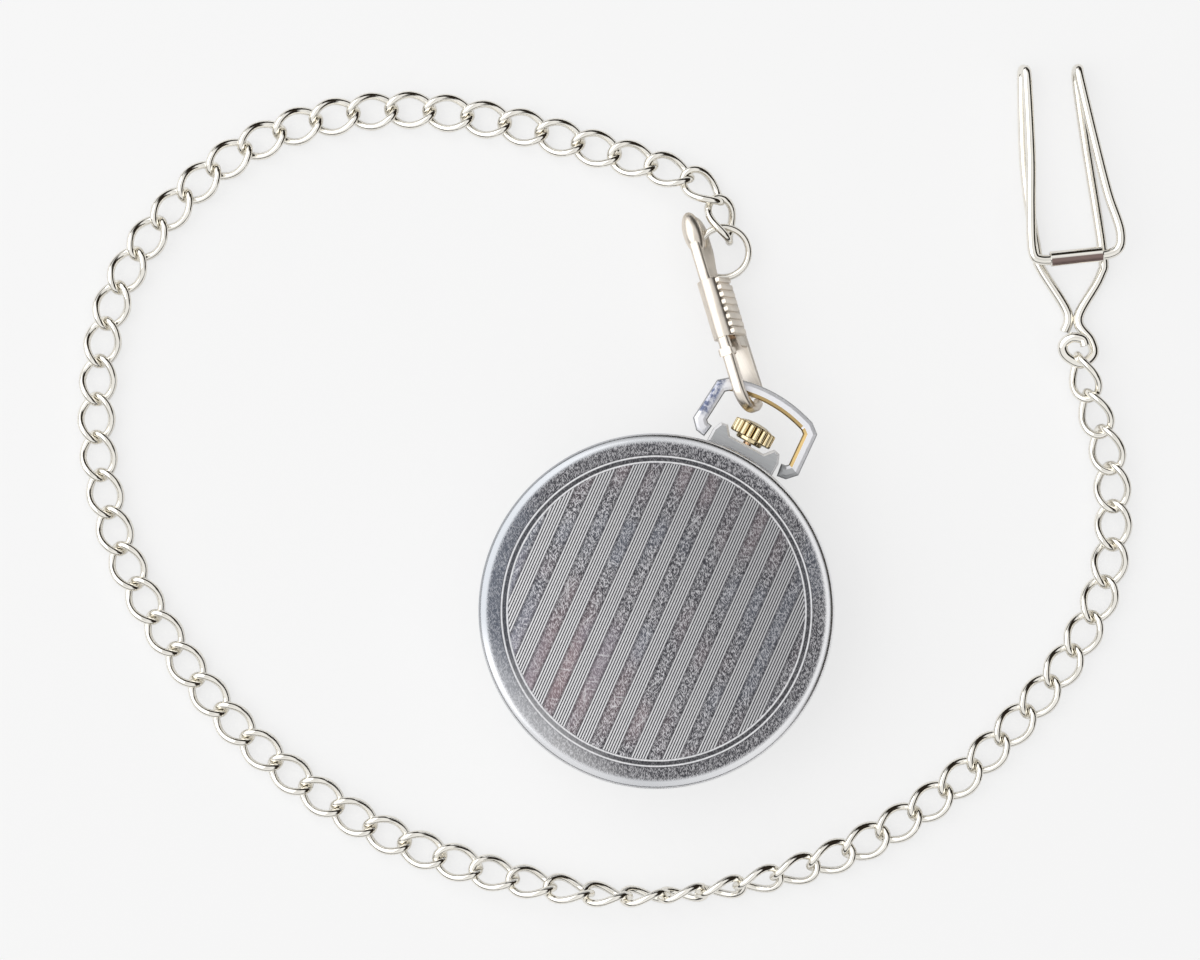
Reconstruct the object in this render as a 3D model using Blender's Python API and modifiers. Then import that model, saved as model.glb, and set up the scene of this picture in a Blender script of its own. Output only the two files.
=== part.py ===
"""Open-face pocket watch with a wound movement, lying on its crystal, with its curb chain, snap clasp and clip.

The frame has its origin in the middle of the crystal's flat, +Z through the case back and +Y to the pendant.
Lengths below are in millimetres and MM turns them into metres.
"""
import bpy
import bmesh
from math import atan2, cos, pi, radians, sin, tau
from mathutils import Matrix, Vector
from mathutils.geometry import interpolate_bezier

MM = 0.001

# Case
CASE_RADIUS = 24.0
THICKNESS = 12.0
BACK_SEAM = 8.6
BEZEL_SEAM = 4.0
BACK_FLAT_RADIUS = 22.7
WALL = 0.8
CRYSTAL_RADIUS = 20.7
DIAL_RADIUS = 20.4
FIT = 0.05
CASE_STEPS = 40

# Pendant, bow and crown
STEM_HEIGHT = 6.4
PENDANT_HALF = 5.0
BOW_AXIS_Y = 24.9
BOW_WIDTH = 1.8
BOW_THICKNESS = 1.4
BOW_PIN_RADIUS = 0.6
BOW_PIN_X = 4.95
BOW_TOP_Y = 32.75
BOW_ARCH = 0.028
CROWN_RADIUS = 3.0
CROWN_LOW = 26.5
CROWN_HIGH = 28.4
CROWN_FLUTES = 18
STEM_RADIUS = 0.6

# Levels of the movement, from the hands to the back
MINUTE_HAND_LEVEL = (1.45, 1.60)
HOUR_HAND_LEVEL = (1.85, 2.00)
SECONDS_HAND_LEVEL = (2.45, 2.55)
DIAL_LEVEL = (2.80, 3.20)
HOUR_WHEEL_LEVEL = (3.50, 3.80)
PLATE_LEVEL = (4.40, 5.60)
BRIDGE_LEVEL = (8.50, 9.50)
PALLET_BRIDGE_LEVEL = (7.50, 7.80)
PLATE_RADIUS = 20.0
PIVOT_RADIUS = 0.35
PIVOT_HOLE = 0.5

# Train: teeth of each wheel and leaves of the pinion that it drives, with their modules
CENTRE_TEETH, THIRD_LEAVES, CENTRE_MODULE = 48, 6, 0.24
THIRD_TEETH, FOURTH_LEAVES, THIRD_MODULE = 45, 6, 0.2267
FOURTH_TEETH, ESCAPE_LEAVES, FOURTH_MODULE = 60, 6, 0.1633
BARREL_TEETH, CENTRE_LEAVES, BARREL_MODULE = 64, 8, 0.2125
RATCHET_TEETH, CROWN_WHEEL_TEETH = 30, 27
WINDING_TEETH, WINDING_MODULE = 14, 0.395
HOUR_TEETH, HOUR_MODULE = 32, 0.25
TOOTH_RISE, TOOTH_DEPTH = 0.40, 1.0
ESCAPE_SLACK = 0.05
SECONDS_Y = -9.5
BARREL_ANGLE = radians(35)
CROWN_WHEEL_Y = 10.2
WINDING_PINION_Y = 14.4
ESCAPE_TEETH = 15
ESCAPE_RADIUS = 1.85
BALANCE_RADIUS = 5.6

# Table frame: millimetres right and up from the case's middle, seen from above, turned against the watch
TABLE_TURN = radians(28.73)

# Chain
LINK_LENGTH = 7.0
LINK_WIDTH = 5.3
WIRE_RADIUS = 0.475
LINK_TWIST = radians(42)
LINKS_PER_RUN = 5
LINK_SEGMENTS = 8
LINK_COUNT = 65
RUN_SPACING = 4.4
LINK_REST = 1.43
LINK_ON_EDGE = 1.4
RING_LIFT = 0.2
END_TURN = radians(48)
END_TURN_LENGTH = 22.0
CHAIN_ROUTE = [
    (9.9, 50.2), (8.6, 54.6), (4.8, 58.8), (-7.6, 62.9), (-21.3, 66.7), (-35.0, 68.4), (-48.7, 66.3),
    (-59.7, 60.8), (-69.3, 51.2), (-74.7, 41.0), (-76.5, 30.0), (-76.1, 19.1), (-72.7, 6.7), (-65.8, -5.6),
    (-55.6, -17.9), (-41.9, -28.2), (-28.2, -34.4), (-13.1, -38.2), (-0.8, -39.2), (12.9, -37.4),
    (26.6, -33.0), (39.0, -25.5), (49.9, -15.2), (58.2, -4.2), (62.3, 6.7), (62.3, 19.1), (59.5, 28.6),
    (57.7, 34.8),
]
TURN_OVER_START = 0.47
TURN_OVER_END = 0.75

# Clasp, in its own plane: u from the eye to the hook, v from the strip to the lever, w across
CLASP_EYE_END = (5.7, 53.0)
CLASP_HOOK_END = (13.2, 27.5)
CLASP_TILT = radians(66)
CLASP_RISE = 0.155
BAR_X = -4.0
BAR_IN_HOOK = (24.6, 2.7)
HOOK_MIDDLE = 24.5
STRIP = 1.1
HOOK_HALF_WIDTH = 0.8
EAR_HALF_WIDTH = 0.55
LEVER_HALF_WIDTH = 1.05
GATE_HALF_WIDTH = 0.95
CLASP_PIN = (10.9, 3.2)
CLASP_PIN_RADIUS = 0.45
LEVER_RIBS = 7
SLEEVE_START = 9.2
SLEEVE_RIBS = 8
RIB_PITCH = 1.05
RIB_SWELL = 0.25
SLEEVE_INSIDE = 1.2
SLEEVE_OUTSIDE = 1.6
SLEEVE_DEPTH = 4.4
SLEEVE_MIDDLE = 1.35
RING_IN_EYE = (3.4, 2.8)
RING_UNDER_EYE = (8.5, 5.2)
RING_LEAN = radians(68)
RING_RADIUS = 3.5
RING_WIRE = 0.43

# Clip of bent wire
CLIP_WIRE = 0.62
CLIP_UPPER = 4.6
CLIP_LOWER = 0.75


def collection(name):
    group = bpy.data.collections.new(name)
    bpy.context.scene.collection.children.link(group)
    return group


def material(name, colour, roughness, metallic):
    made = bpy.data.materials.new(name)
    made.use_nodes = True
    shader = made.node_tree.nodes["Principled BSDF"]
    shader.inputs["Base Color"].default_value = (*colour, 1)
    shader.inputs["Roughness"].default_value = roughness
    shader.inputs["Metallic"].default_value = metallic
    return made


for old in list(bpy.data.objects):
    bpy.data.objects.remove(old, do_unlink=True)
PARTS = collection("pocket_watch")

STEEL = material("polished_steel", (0.62, 0.63, 0.66), 0.22, 1.0)
BRUSHED = material("brushed_steel", (0.42, 0.42, 0.44), 0.38, 1.0)
NICKEL = material("warm_nickel", (0.80, 0.77, 0.71), 0.20, 1.0)
GILT = material("gilt_brass", (0.83, 0.66, 0.34), 0.28, 1.0)
GLASS = material("crystal_glass", (0.95, 0.97, 0.98), 0.03, 0.0)
DIAL_PAINT = material("silvered_dial", (0.86, 0.85, 0.80), 0.45, 0.2)
BLUED = material("blued_steel", (0.04, 0.06, 0.16), 0.30, 1.0)


def finish(shape, name, paint):
    """Name a mesh object, give it its material and shade it."""
    shape.name = name
    shape.data.name = name
    shape.data.materials.clear()
    shape.data.materials.append(paint)
    for group in list(shape.users_collection):
        group.objects.unlink(shape)
    PARTS.objects.link(shape)
    shape.data.shade_smooth()
    shape.data.set_sharp_from_angle(angle=radians(30))
    return shape


def turned(name, profile, steps, paint, closed=False, place=(0, 0, 0), turn=(0, 0, 0)):
    """Turn a profile of (radius, height), listed down its outer side, about its own Z axis."""
    mesh = bpy.data.meshes.new(name)
    points = [(r * MM, 0, z * MM) for r, z in profile]
    edges = [(i, i + 1) for i in range(len(points) - 1)]
    if closed:
        edges.append((len(points) - 1, 0))
    mesh.from_pydata(points, edges, [])
    shape = bpy.data.objects.new(name, mesh)
    PARTS.objects.link(shape)
    screw = shape.modifiers.new("turn", "SCREW")
    screw.steps = screw.render_steps = steps
    screw.use_merge_vertices = True
    screw.merge_threshold = 1e-7
    shape = baked(shape)
    shape.location = [c * MM for c in place]
    shape.rotation_euler = turn
    return finish(shape, name, paint)


def drop_specks(body):
    """Keep the largest connected body and remove the specks that a union can leave inside it."""
    unseen, bodies = set(body.verts), []
    while unseen:
        front, found = [unseen.pop()], []
        while front:
            vertex = front.pop()
            found.append(vertex)
            near = [edge.other_vert(vertex) for edge in vertex.link_edges]
            front += [other for other in near if other in unseen]
            unseen.difference_update(near)
        bodies.append(found)
    specks = sorted(bodies, key=len)[:-1]
    bmesh.ops.delete(body, geom=[vertex for speck in specks for vertex in speck], context="VERTS")


def baked(shape):
    """Replace a curve, or a mesh with modifiers, by the welded mesh that it evaluates to."""
    bpy.context.view_layer.update()
    graph = bpy.context.evaluated_depsgraph_get()
    mesh = bpy.data.meshes.new_from_object(shape.evaluated_get(graph))
    weld = bmesh.new()
    weld.from_mesh(mesh)
    bmesh.ops.remove_doubles(weld, verts=weld.verts, dist=2e-7)
    drop_specks(weld)
    bmesh.ops.recalc_face_normals(weld, faces=weld.faces)
    weld.to_mesh(mesh)
    weld.free()
    solid = bpy.data.objects.new(shape.name, mesh)
    solid.matrix_world = shape.matrix_world.copy()
    bpy.data.objects.remove(shape, do_unlink=True)
    PARTS.objects.link(solid)
    return solid


def slab(name, loops, low, high, paint, place=(0, 0, 0), turn=(0, 0, 0)):
    """Extrude closed outlines, holes among them, from one height to another."""
    curve = bpy.data.curves.new(name, "CURVE")
    curve.dimensions = "2D"
    curve.fill_mode = "BOTH"
    curve.extrude = (high - low) / 2 * MM
    for loop in loops:
        spline = curve.splines.new("POLY")
        spline.points.add(len(loop) - 1)
        spline.use_cyclic_u = True
        for point, (x, y) in zip(spline.points, loop):
            point.co = (x * MM, y * MM, 0, 1)
    shape = bpy.data.objects.new(name, curve)
    PARTS.objects.link(shape)
    shape = baked(shape)
    shape.data.transform(Matrix.Translation((0, 0, (low + high) / 2 * MM)))
    shape.location = [c * MM for c in place]
    shape.rotation_euler = turn
    return finish(shape, name, paint)


def wire(name, points, radius, paint, cyclic=False, resolution=1):
    """A round wire through points in metres, with filled ends."""
    curve = bpy.data.curves.new(name, "CURVE")
    curve.dimensions = "3D"
    curve.bevel_depth = radius * MM
    curve.bevel_resolution = resolution
    curve.use_fill_caps = not cyclic
    spline = curve.splines.new("POLY")
    spline.points.add(len(points) - 1)
    spline.use_cyclic_u = cyclic
    for point, place in zip(spline.points, points):
        point.co = (*place, 1)
    shape = bpy.data.objects.new(name, curve)
    PARTS.objects.link(shape)
    return finish(baked(shape), name, paint)


def combine(shape, tools, operation):
    """Join tools to a piece, or cut them out of it, and bake the result."""
    name, paint = shape.name, shape.data.materials[0]
    for tool in tools:
        boolean = shape.modifiers.new(operation.lower(), "BOOLEAN")
        boolean.operation = operation
        boolean.object = tool
    shape = finish(baked(shape), name, paint)
    for tool in tools:
        bpy.data.objects.remove(tool, do_unlink=True)
    return shape


def circle(radius, count=12, middle=(0, 0)):
    return [
        (middle[0] + radius * cos(tau * i / count), middle[1] + radius * sin(tau * i / count))
        for i in range(count)
    ]


def arc(radius, start, end, count, middle=(0, 0)):
    """Points on an arc between two angles in degrees."""
    angles = [radians(start + (end - start) * i / count) for i in range(count + 1)]
    return [(middle[0] + radius * cos(a), middle[1] + radius * sin(a)) for a in angles]


def toothed(teeth, module, phase=0.0):
    """A wheel's outline: thin pointed teeth, so that meshed wheels keep some backlash."""
    pitch = teeth * module / 2
    root, tip = pitch - TOOTH_DEPTH * module, pitch + TOOTH_RISE * module
    outline = []
    for i in range(teeth):
        angle = tau * (i + phase) / teeth
        gap = angle + pi / teeth
        outline.append((tip * cos(angle), tip * sin(angle)))
        outline.append((root * cos(gap), root * sin(gap)))
    return outline


def smooth_route(points, count=12):
    """A dense smooth curve through hand-chosen points, as bezier spans with Catmull-Rom tangents."""
    knots = [Vector((*p, 0)) if len(p) == 2 else Vector(p) for p in points]
    dense = []
    for i in range(len(knots) - 1):
        before, after = knots[max(i - 1, 0)], knots[min(i + 2, len(knots) - 1)]
        first = knots[i] + (knots[i + 1] - before) / 6
        second = knots[i + 1] - (after - knots[i]) / 6
        dense += interpolate_bezier(knots[i], first, second, knots[i + 1], count)[:-1]
    return dense + [knots[-1]]


def empty(name, place, turn=(0, 0, 0)):
    pivot = bpy.data.objects.new(name, None)
    pivot.location = [c * MM for c in place]
    pivot.rotation_euler = turn
    PARTS.objects.link(pivot)
    return pivot


def carry(pivot, shapes):
    """Parent pieces to a pivot without moving them."""
    bpy.context.view_layer.update()
    for shape in shapes:
        shape.parent = pivot
        shape.matrix_parent_inverse = pivot.matrix_world.inverted()


def case_back():
    """Snap-on back: a flat disc with a rounded rim and a short skirt."""
    bead = CASE_RADIUS - BACK_FLAT_RADIUS
    rim = arc(bead, 90, 0, 6, (BACK_FLAT_RADIUS, THICKNESS - bead))
    low = BACK_SEAM + FIT
    inside = [(CASE_RADIUS - 1.2, low), (CASE_RADIUS - 1.4, THICKNESS - bead)]
    inside += [(BACK_FLAT_RADIUS - 0.9, THICKNESS - WALL), (0, THICKNESS - WALL)]
    return turned("case_back", [(0, THICKNESS)] + rim + [(CASE_RADIUS, low)] + inside, CASE_STEPS, BRUSHED)


def case_band():
    """Middle ring that carries movement, pendant, back and bezel."""
    high, low = BACK_SEAM, BEZEL_SEAM + FIT
    profile = [
        (CASE_RADIUS - 0.5, high), (CASE_RADIUS - 0.1, high - 0.5), (CASE_RADIUS - 0.1, low + 0.5),
        (CASE_RADIUS - 0.5, low), (21.0, low), (21.0, 4.3), (20.2, 4.4), (20.2, 5.0), (20.6, 5.1), (20.6, high),
    ]
    ring = turned("case_band", profile, CASE_STEPS, STEEL, closed=True)
    bore = turned("stem_bore", [(0, 26), (0.9, 26), (0.9, 18), (0, 18)], 12, STEEL, turn=(-pi / 2, 0, 0))
    bore.location = (0, 0, STEM_HEIGHT * MM)
    return combine(ring, [bore], "DIFFERENCE")


def bezel():
    """Rounded front ring with a groove that holds the crystal."""
    profile = [(CASE_RADIUS - 0.6, BEZEL_SEAM)]
    profile += arc(2.6, 15, -70, 5, (CASE_RADIUS - 2.8, 3.3))
    profile += [(CRYSTAL_RADIUS - 0.1, 0.95), (CRYSTAL_RADIUS - 0.1, 1.5), (CRYSTAL_RADIUS + 0.1, 1.6)]
    profile += [(CRYSTAL_RADIUS + 0.1, BEZEL_SEAM)]
    return turned("bezel", profile, CASE_STEPS, STEEL, closed=True)


def crystal():
    """Glass with a flat top, bevelled shoulder and thin edge, face down on the table."""
    profile = [(0, 1.1), (17.6, 1.1), (19.6, 2.0), (CRYSTAL_RADIUS, 2.0), (CRYSTAL_RADIUS, 1.65)]
    profile += [(20.45, 1.4), (20.3, 0.9), (19.2, 0.25), (18.2, 0), (0, 0)]
    return turned("crystal", profile, CASE_STEPS, GLASS)


def pendant():
    """Flat steel block on the band, with an eight-sided bay for the crown and pivots for the bow."""
    half = PENDANT_HALF
    left = [(-half, 25.4), (-4.5, 26.6), (-3.6, 26.8), (-2.6, 25.6)]
    right = [(-x, y) for x, y in reversed(left)]
    base = arc(CASE_RADIUS, 78, 102, 6)
    block = slab("pendant", [left + right + base], STEM_HEIGHT - 2.1, STEM_HEIGHT + 2.1, STEEL)
    bore = turned("stem_bore", [(0, 29), (0.9, 29), (0.9, 20), (0, 20)], 12, STEEL)
    bore.location = (0, 0, STEM_HEIGHT * MM)
    bore.rotation_euler = (-pi / 2, 0, 0)
    return combine(block, [bore] + bow_pins(BOW_PIN_RADIUS + 0.12, 1.4), "DIFFERENCE")


def bow_pins(radius, half):
    """A short cylinder at each end of the bow's axis."""
    pins = []
    for side in (-1, 1):
        pin = turned("pin", [(0, half), (radius, half), (radius, -half), (0, -half)], 12, STEEL)
        pin.location = (side * BOW_PIN_X * MM, BOW_AXIS_Y * MM, STEM_HEIGHT * MM)
        pin.rotation_euler = (0, pi / 2, 0)
        pins.append(pin)
    return pins


def strip_outline(path, width):
    """The outline of a strip of even width along a path, with mitred corners."""
    side = []
    other = []
    for i, point in enumerate(path):
        before, after = path[max(i - 1, 0)], path[min(i + 1, len(path) - 1)]
        come, leave = Vector(point) - Vector(before), Vector(after) - Vector(point)
        run = (come.normalized() + leave.normalized()).normalized()
        mitre = run.dot(leave.normalized() if i == 0 else come.normalized())
        across = Vector((-run.y, run.x)) * width / 2 / mitre
        side.append(tuple(Vector(point) + across))
        other.append(tuple(Vector(point) - across))
    return side + other[::-1]


def bow():
    """Stirrup of flat strip: bent feet, straight sides and an arched top bar, with pins into the pendant."""
    top = [(x, BOW_TOP_Y - BOW_ARCH * x * x) for x in (-6.4, -4.8, -3.2, -1.6, 0, 1.6, 3.2, 4.8, 6.4)]
    leg = [(5.5, 24.75), (6.5, 24.9), (7.25, 25.7), (6.9, 31.0)]
    path = [(-x, y) for x, y in leg] + top + leg[::-1]
    half = BOW_THICKNESS / 2
    frame = slab("bow", [strip_outline(path, BOW_WIDTH)], -half, half, STEEL, (0, 0, STEM_HEIGHT))
    return combine(frame, bow_pins(BOW_PIN_RADIUS, 0.9), "UNION")


def crown():
    """Fluted gilt knob on the stem."""
    flutes = []
    for i in range(CROWN_FLUTES):
        for offset, depth in ((-0.3, 0), (0.3, 0), (0.5, 0.3)):
            angle = tau * (i + offset) / CROWN_FLUTES
            flutes.append(((CROWN_RADIUS - depth) * cos(angle), (CROWN_RADIUS - depth) * sin(angle)))
    along = (0, 0, STEM_HEIGHT)
    knob = slab("crown", [flutes], CROWN_LOW, CROWN_HIGH, GILT, along, (-pi / 2, 0, 0))
    dome = turned("dome", [(0, 28.9), (1.4, 28.8), (2.3, 28.5), (2.5, 28.2), (2.5, 27.5), (0, 27.5)], 16, GILT)
    skirt = turned("skirt", [(0, 27), (1.9, 27), (1.9, 26.0), (0, 26.0)], 16, GILT)
    for turn in (dome, skirt):
        turn.location = (0, 0, STEM_HEIGHT * MM)
        turn.rotation_euler = (-pi / 2, 0, 0)
    return combine(knob, [dome, skirt], "UNION")


def winding_stem():
    """Stem from the crown's foot into the winding pinion."""
    profile = [(0, 25.95), (STEM_RADIUS, 25.95), (STEM_RADIUS, 12.2), (0, 12.2)]
    return turned("winding_stem", profile, 12, BLUED, place=(0, 0, STEM_HEIGHT), turn=(-pi / 2, 0, 0))


def winding_pinion():
    """Pinion on the stem, just under the crown wheel's rim."""
    outline = toothed(WINDING_TEETH, WINDING_MODULE)
    bore = circle(STEM_RADIUS + 0.08, 12)
    low, high = WINDING_PINION_Y - 0.9, WINDING_PINION_Y + 0.9
    return slab("winding_pinion", [outline, bore], low, high, BLUED, (0, 0, STEM_HEIGHT), (-pi / 2, 0, 0))


def wheel_places():
    """Where each arbor stands, worked out from tooth counts and modules."""
    centre_third = CENTRE_MODULE * (CENTRE_TEETH + THIRD_LEAVES) / 2
    third_fourth = THIRD_MODULE * (THIRD_TEETH + FOURTH_LEAVES) / 2
    span = -SECONDS_Y
    third_y = -(centre_third**2 - third_fourth**2 + span**2) / (2 * span)
    third_x = -((centre_third**2 - third_y**2) ** 0.5)
    fourth_escape = FOURTH_MODULE * (FOURTH_TEETH + ESCAPE_LEAVES) / 2 + ESCAPE_SLACK
    barrel = BARREL_MODULE * (BARREL_TEETH + CENTRE_LEAVES) / 2
    escape_angle = radians(22)
    escape = (fourth_escape * cos(escape_angle), SECONDS_Y + fourth_escape * sin(escape_angle))
    balance = (escape[0] + 3.9 * cos(radians(-12)), escape[1] + 3.9 * sin(radians(-12)))
    pallet = (escape[0] + 2.35 * cos(radians(-12)), escape[1] + 2.35 * sin(radians(-12)))
    return {
        "centre": (0.0, 0.0),
        "third": (third_x, third_y),
        "fourth": (0.0, SECONDS_Y),
        "escape": escape,
        "pallet": pallet,
        "balance": balance,
        "barrel": (barrel * cos(BARREL_ANGLE), barrel * sin(BARREL_ANGLE)),
        "crown_wheel": (0.0, CROWN_WHEEL_Y),
    }


PLACES = wheel_places()


def in_mesh(driver, driver_teeth, pinion, leaves):
    """Phase of the pinion that puts a gap where the driver, whose tooth 0 is on +X, has a tooth."""
    (x0, y0), (x1, y1) = PLACES[driver], PLACES[pinion]
    angle = atan2(y1 - y0, x1 - x0)
    driver_phase = (angle / tau * driver_teeth) % 1
    back = (angle + pi) / tau * leaves
    return (back + driver_phase + 0.5) % 1


def arbor_wheel(name, key, wheel, pinion, ends, paint, wheel_phase=0.0):
    """A wheel riveted on its arbor and pinion, with a thin pivot at either end."""
    teeth, module, low, high = wheel
    disc = slab(name, [toothed(teeth, module, wheel_phase)], low, high, paint, (*PLACES[key], 0))
    bottom, top = ends
    shaft = [(0, top), (PIVOT_RADIUS, top), (PIVOT_RADIUS, top - 0.6), (0.45, top - 0.6)]
    shaft += [(0.45, bottom + 0.6), (PIVOT_RADIUS, bottom + 0.6), (PIVOT_RADIUS, bottom), (0, bottom)]
    tools = [turned("arbor", shaft, 10, paint, place=(*PLACES[key], 0))]
    if pinion:
        leaves, leaf_module, leaf_low, leaf_high, phase = pinion
        outline = toothed(leaves, leaf_module, phase)
        tools.append(slab("leaves", [outline], leaf_low, leaf_high, paint, (*PLACES[key], 0)))
    return combine(disc, tools, "UNION")


def train():
    """The going train, each wheel in mesh with the next pinion."""
    inside = PLATE_LEVEL[0] + 0.3, BRIDGE_LEVEL[1] - 0.2
    third_phase = in_mesh("centre", CENTRE_TEETH, "third", THIRD_LEAVES)
    fourth_phase = in_mesh("third", THIRD_TEETH, "fourth", FOURTH_LEAVES)
    escape_phase = in_mesh("fourth", FOURTH_TEETH, "escape", ESCAPE_LEAVES)
    centre_leaf_phase = in_mesh("barrel", BARREL_TEETH, "centre", CENTRE_LEAVES)
    centre = arbor_wheel(
        "center_wheel", "centre", (CENTRE_TEETH, CENTRE_MODULE, 5.75, 6.0),
        (CENTRE_LEAVES, BARREL_MODULE, 5.9, 6.8, centre_leaf_phase), (MINUTE_HAND_LEVEL[0], inside[1]), GILT,
    )
    third = arbor_wheel(
        "third_wheel", "third", (THIRD_TEETH, THIRD_MODULE, 7.3, 7.55),
        (THIRD_LEAVES, CENTRE_MODULE, 5.7, 6.2, third_phase), inside, GILT,
    )
    fourth = arbor_wheel(
        "fourth_wheel", "fourth", (FOURTH_TEETH, FOURTH_MODULE, 6.5, 6.75),
        (FOURTH_LEAVES, THIRD_MODULE, 7.2, 7.7, fourth_phase), (SECONDS_HAND_LEVEL[0], inside[1]), GILT,
    )
    escape = arbor_wheel(
        "escape_wheel", "escape", (ESCAPE_TEETH, 2 * ESCAPE_RADIUS / (ESCAPE_TEETH + 1.1), 7.1, 7.3),
        (ESCAPE_LEAVES, FOURTH_MODULE, 6.4, 6.85, escape_phase), (inside[0], PALLET_BRIDGE_LEVEL[1] - 0.1), BLUED,
    )
    return centre, third, fourth, escape


def barrel():
    """Drum for the mainspring, toothed at its lower edge, on an arbor up to the ratchet wheel."""
    teeth = slab("mainspring_barrel", [toothed(BARREL_TEETH, BARREL_MODULE)], 6.3, 6.75, GILT)
    teeth.location = [c * MM for c in (*PLACES["barrel"], 0)]
    drum = [(0, 8.3), (6.2, 8.3), (6.2, 6.6), (0.45, 6.6), (0.45, 4.7), (0, 4.7)]
    shell = turned("drum", drum, 20, GILT, place=(*PLACES["barrel"], 0))
    return combine(teeth, [shell], "UNION")


def ratchet_and_crown_wheels():
    """Winding wheels on top of the bridge, in mesh with each other."""
    apart = (Vector(PLACES["barrel"]) - Vector(PLACES["crown_wheel"])).length
    module = 2 * apart / (RATCHET_TEETH + CROWN_WHEEL_TEETH)
    low, high = BRIDGE_LEVEL[1] + FIT, BRIDGE_LEVEL[1] + 0.45
    phase = in_mesh("barrel", RATCHET_TEETH, "crown_wheel", CROWN_WHEEL_TEETH)
    places = [(*PLACES[key], 0) for key in ("barrel", "crown_wheel")]
    ratchet = slab("ratchet_wheel", [toothed(RATCHET_TEETH, module)], low, high, STEEL, places[0])
    winder = slab("crown_wheel", [toothed(CROWN_WHEEL_TEETH, module, phase)], low, high, STEEL, places[1])
    for wheel, place in ((ratchet, places[0]), (winder, places[1])):
        profile = [(0, high + 0.3), (1.1, high + 0.3), (1.1, low), (0.4, low), (0.4, 8.7), (0, 8.7)]
        stud = turned("stud", profile, 12, STEEL, place=place)
        combine(wheel, [stud], "UNION")
    return bpy.data.objects["ratchet_wheel"], bpy.data.objects["crown_wheel"]


def pallet_fork():
    """Lever with two stones beside the escape wheel and a notch towards the balance."""
    reach = 1.55
    outline = [(-0.5, 1.32), (-0.2, 1.32), (-0.05, 0.5), (0.35, 0.14), (reach - 0.75, 0.12), (reach - 0.6, 0.28)]
    outline += [(reach - 0.55, 0.08)]
    outline += [(x, -y) for x, y in reversed(outline)]
    fork = slab("pallet_fork", [outline], 7.1, 7.35, BLUED, (*PLACES["pallet"], 0), (0, 0, radians(-12)))
    low, high = PLATE_LEVEL[0] + 0.3, PALLET_BRIDGE_LEVEL[1] - 0.1
    shaft = turned("arbor", [(0, high), (0.2, high), (0.2, low), (0, low)], 8, BLUED, place=(*PLACES["pallet"], 0))
    return combine(fork, [shaft], "UNION")


def balance_wheel():
    """Rim, two arms and a staff, under its cock."""
    rim = slab("balance_wheel", [circle(BALANCE_RADIUS, 32), circle(BALANCE_RADIUS - 0.7, 32)], 8.0, 8.45, GILT)
    rim.location = [c * MM for c in (*PLACES["balance"], 0)]
    half = BALANCE_RADIUS - 0.35
    arms = slab("arms", [[(-half, -0.4), (half, -0.4), (half, 0.4), (-half, 0.4)]], 8.1, 8.3, GILT)
    arms.location = rim.location
    staff = [(0, 9.75), (0.25, 9.75), (0.25, 9.0), (0.45, 9.0), (0.45, 5.75), (0.25, 5.75), (0.25, 4.7), (0, 4.7)]
    pole = turned("staff", staff, 10, GILT, place=(*PLACES["balance"], 0))
    return combine(rim, [arms, pole], "UNION")


def hairspring():
    """Flat spiral above the balance, from its collet to a stud under the cock."""
    turns, steps = 4, 12
    x, y = PLACES["balance"]
    points = []
    for i in range(turns * steps + 1):
        angle = tau * i / steps
        radius = 0.75 + 1.9 * i / (turns * steps)
        points.append(Vector((x + radius * cos(angle), y + radius * sin(angle), 8.85)) * MM)
    return wire("hairspring", points, 0.07, BLUED, resolution=0)


def plate_holes(names, radius=PIVOT_HOLE):
    return [circle(radius, 8, PLACES[name]) for name in names]


def main_plate():
    """Round plate that carries every arbor, notched for the winding pinion."""
    rim = arc(PLATE_RADIUS, 100, 440, 34)
    notch = [(3.3, 12.6), (-3.3, 12.6)]
    holes = plate_holes(("third", "escape", "pallet", "balance", "barrel"))
    holes += [circle(0.75, 12, PLACES[name]) for name in ("centre", "fourth")]
    return slab("main_plate", [rim + notch] + holes, *PLATE_LEVEL, GILT)


def train_bridge():
    """Three-quarter bridge on a foot round its edge, open over the balance and the winding pinion."""
    low, high = BRIDGE_LEVEL
    left = arc(19.2, 98, 285, 16)
    bay = arc(BALANCE_RADIUS + 0.6, 195, 85, 6, PLACES["balance"])
    right = arc(19.2, -2, 82, 7)
    notch = [(2.6, 12.6), (-2.6, 12.6)]
    holes = plate_holes(("third", "fourth", "centre"))
    holes += plate_holes(("barrel", "crown_wheel"), 0.6)
    top = slab("train_bridge", [left + bay + right + notch] + holes, low, high, STEEL)
    feet = []
    for start, end, count in ((100, 280, 10), (5, 80, 5)):
        outline = arc(19.0, start, end, count) + arc(17.6, end, start, count)
        feet.append(slab("foot", [outline], PLATE_LEVEL[1] + FIT, low + 0.4, STEEL))
    return combine(top, feet, "UNION")


def balance_cock():
    """Arm over the balance on a foot at the plate's edge."""
    x, y = PLACES["balance"]
    outward = atan2(y, x)
    foot_angles = [outward + radians(a) for a in (-14, -7, 0, 7, 14)]
    edge = [(19.0 * cos(a), 19.0 * sin(a)) for a in foot_angles]
    head = [(x + 1.5 * cos(a), y + 1.5 * sin(a)) for a in [outward + radians(b) for b in (90, 135, 180, 225, 270)]]
    low, high = 9.1, 9.9
    arm = slab("balance_cock", [edge + head, circle(0.4, 10, (x, y))], low, high, STEEL)
    inner = [(17.75 * cos(a), 17.75 * sin(a)) for a in reversed(foot_angles)]
    foot = slab("foot", [edge + inner], PLATE_LEVEL[1] + FIT, low + 0.3, STEEL)
    return combine(arm, [foot], "UNION")


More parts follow.
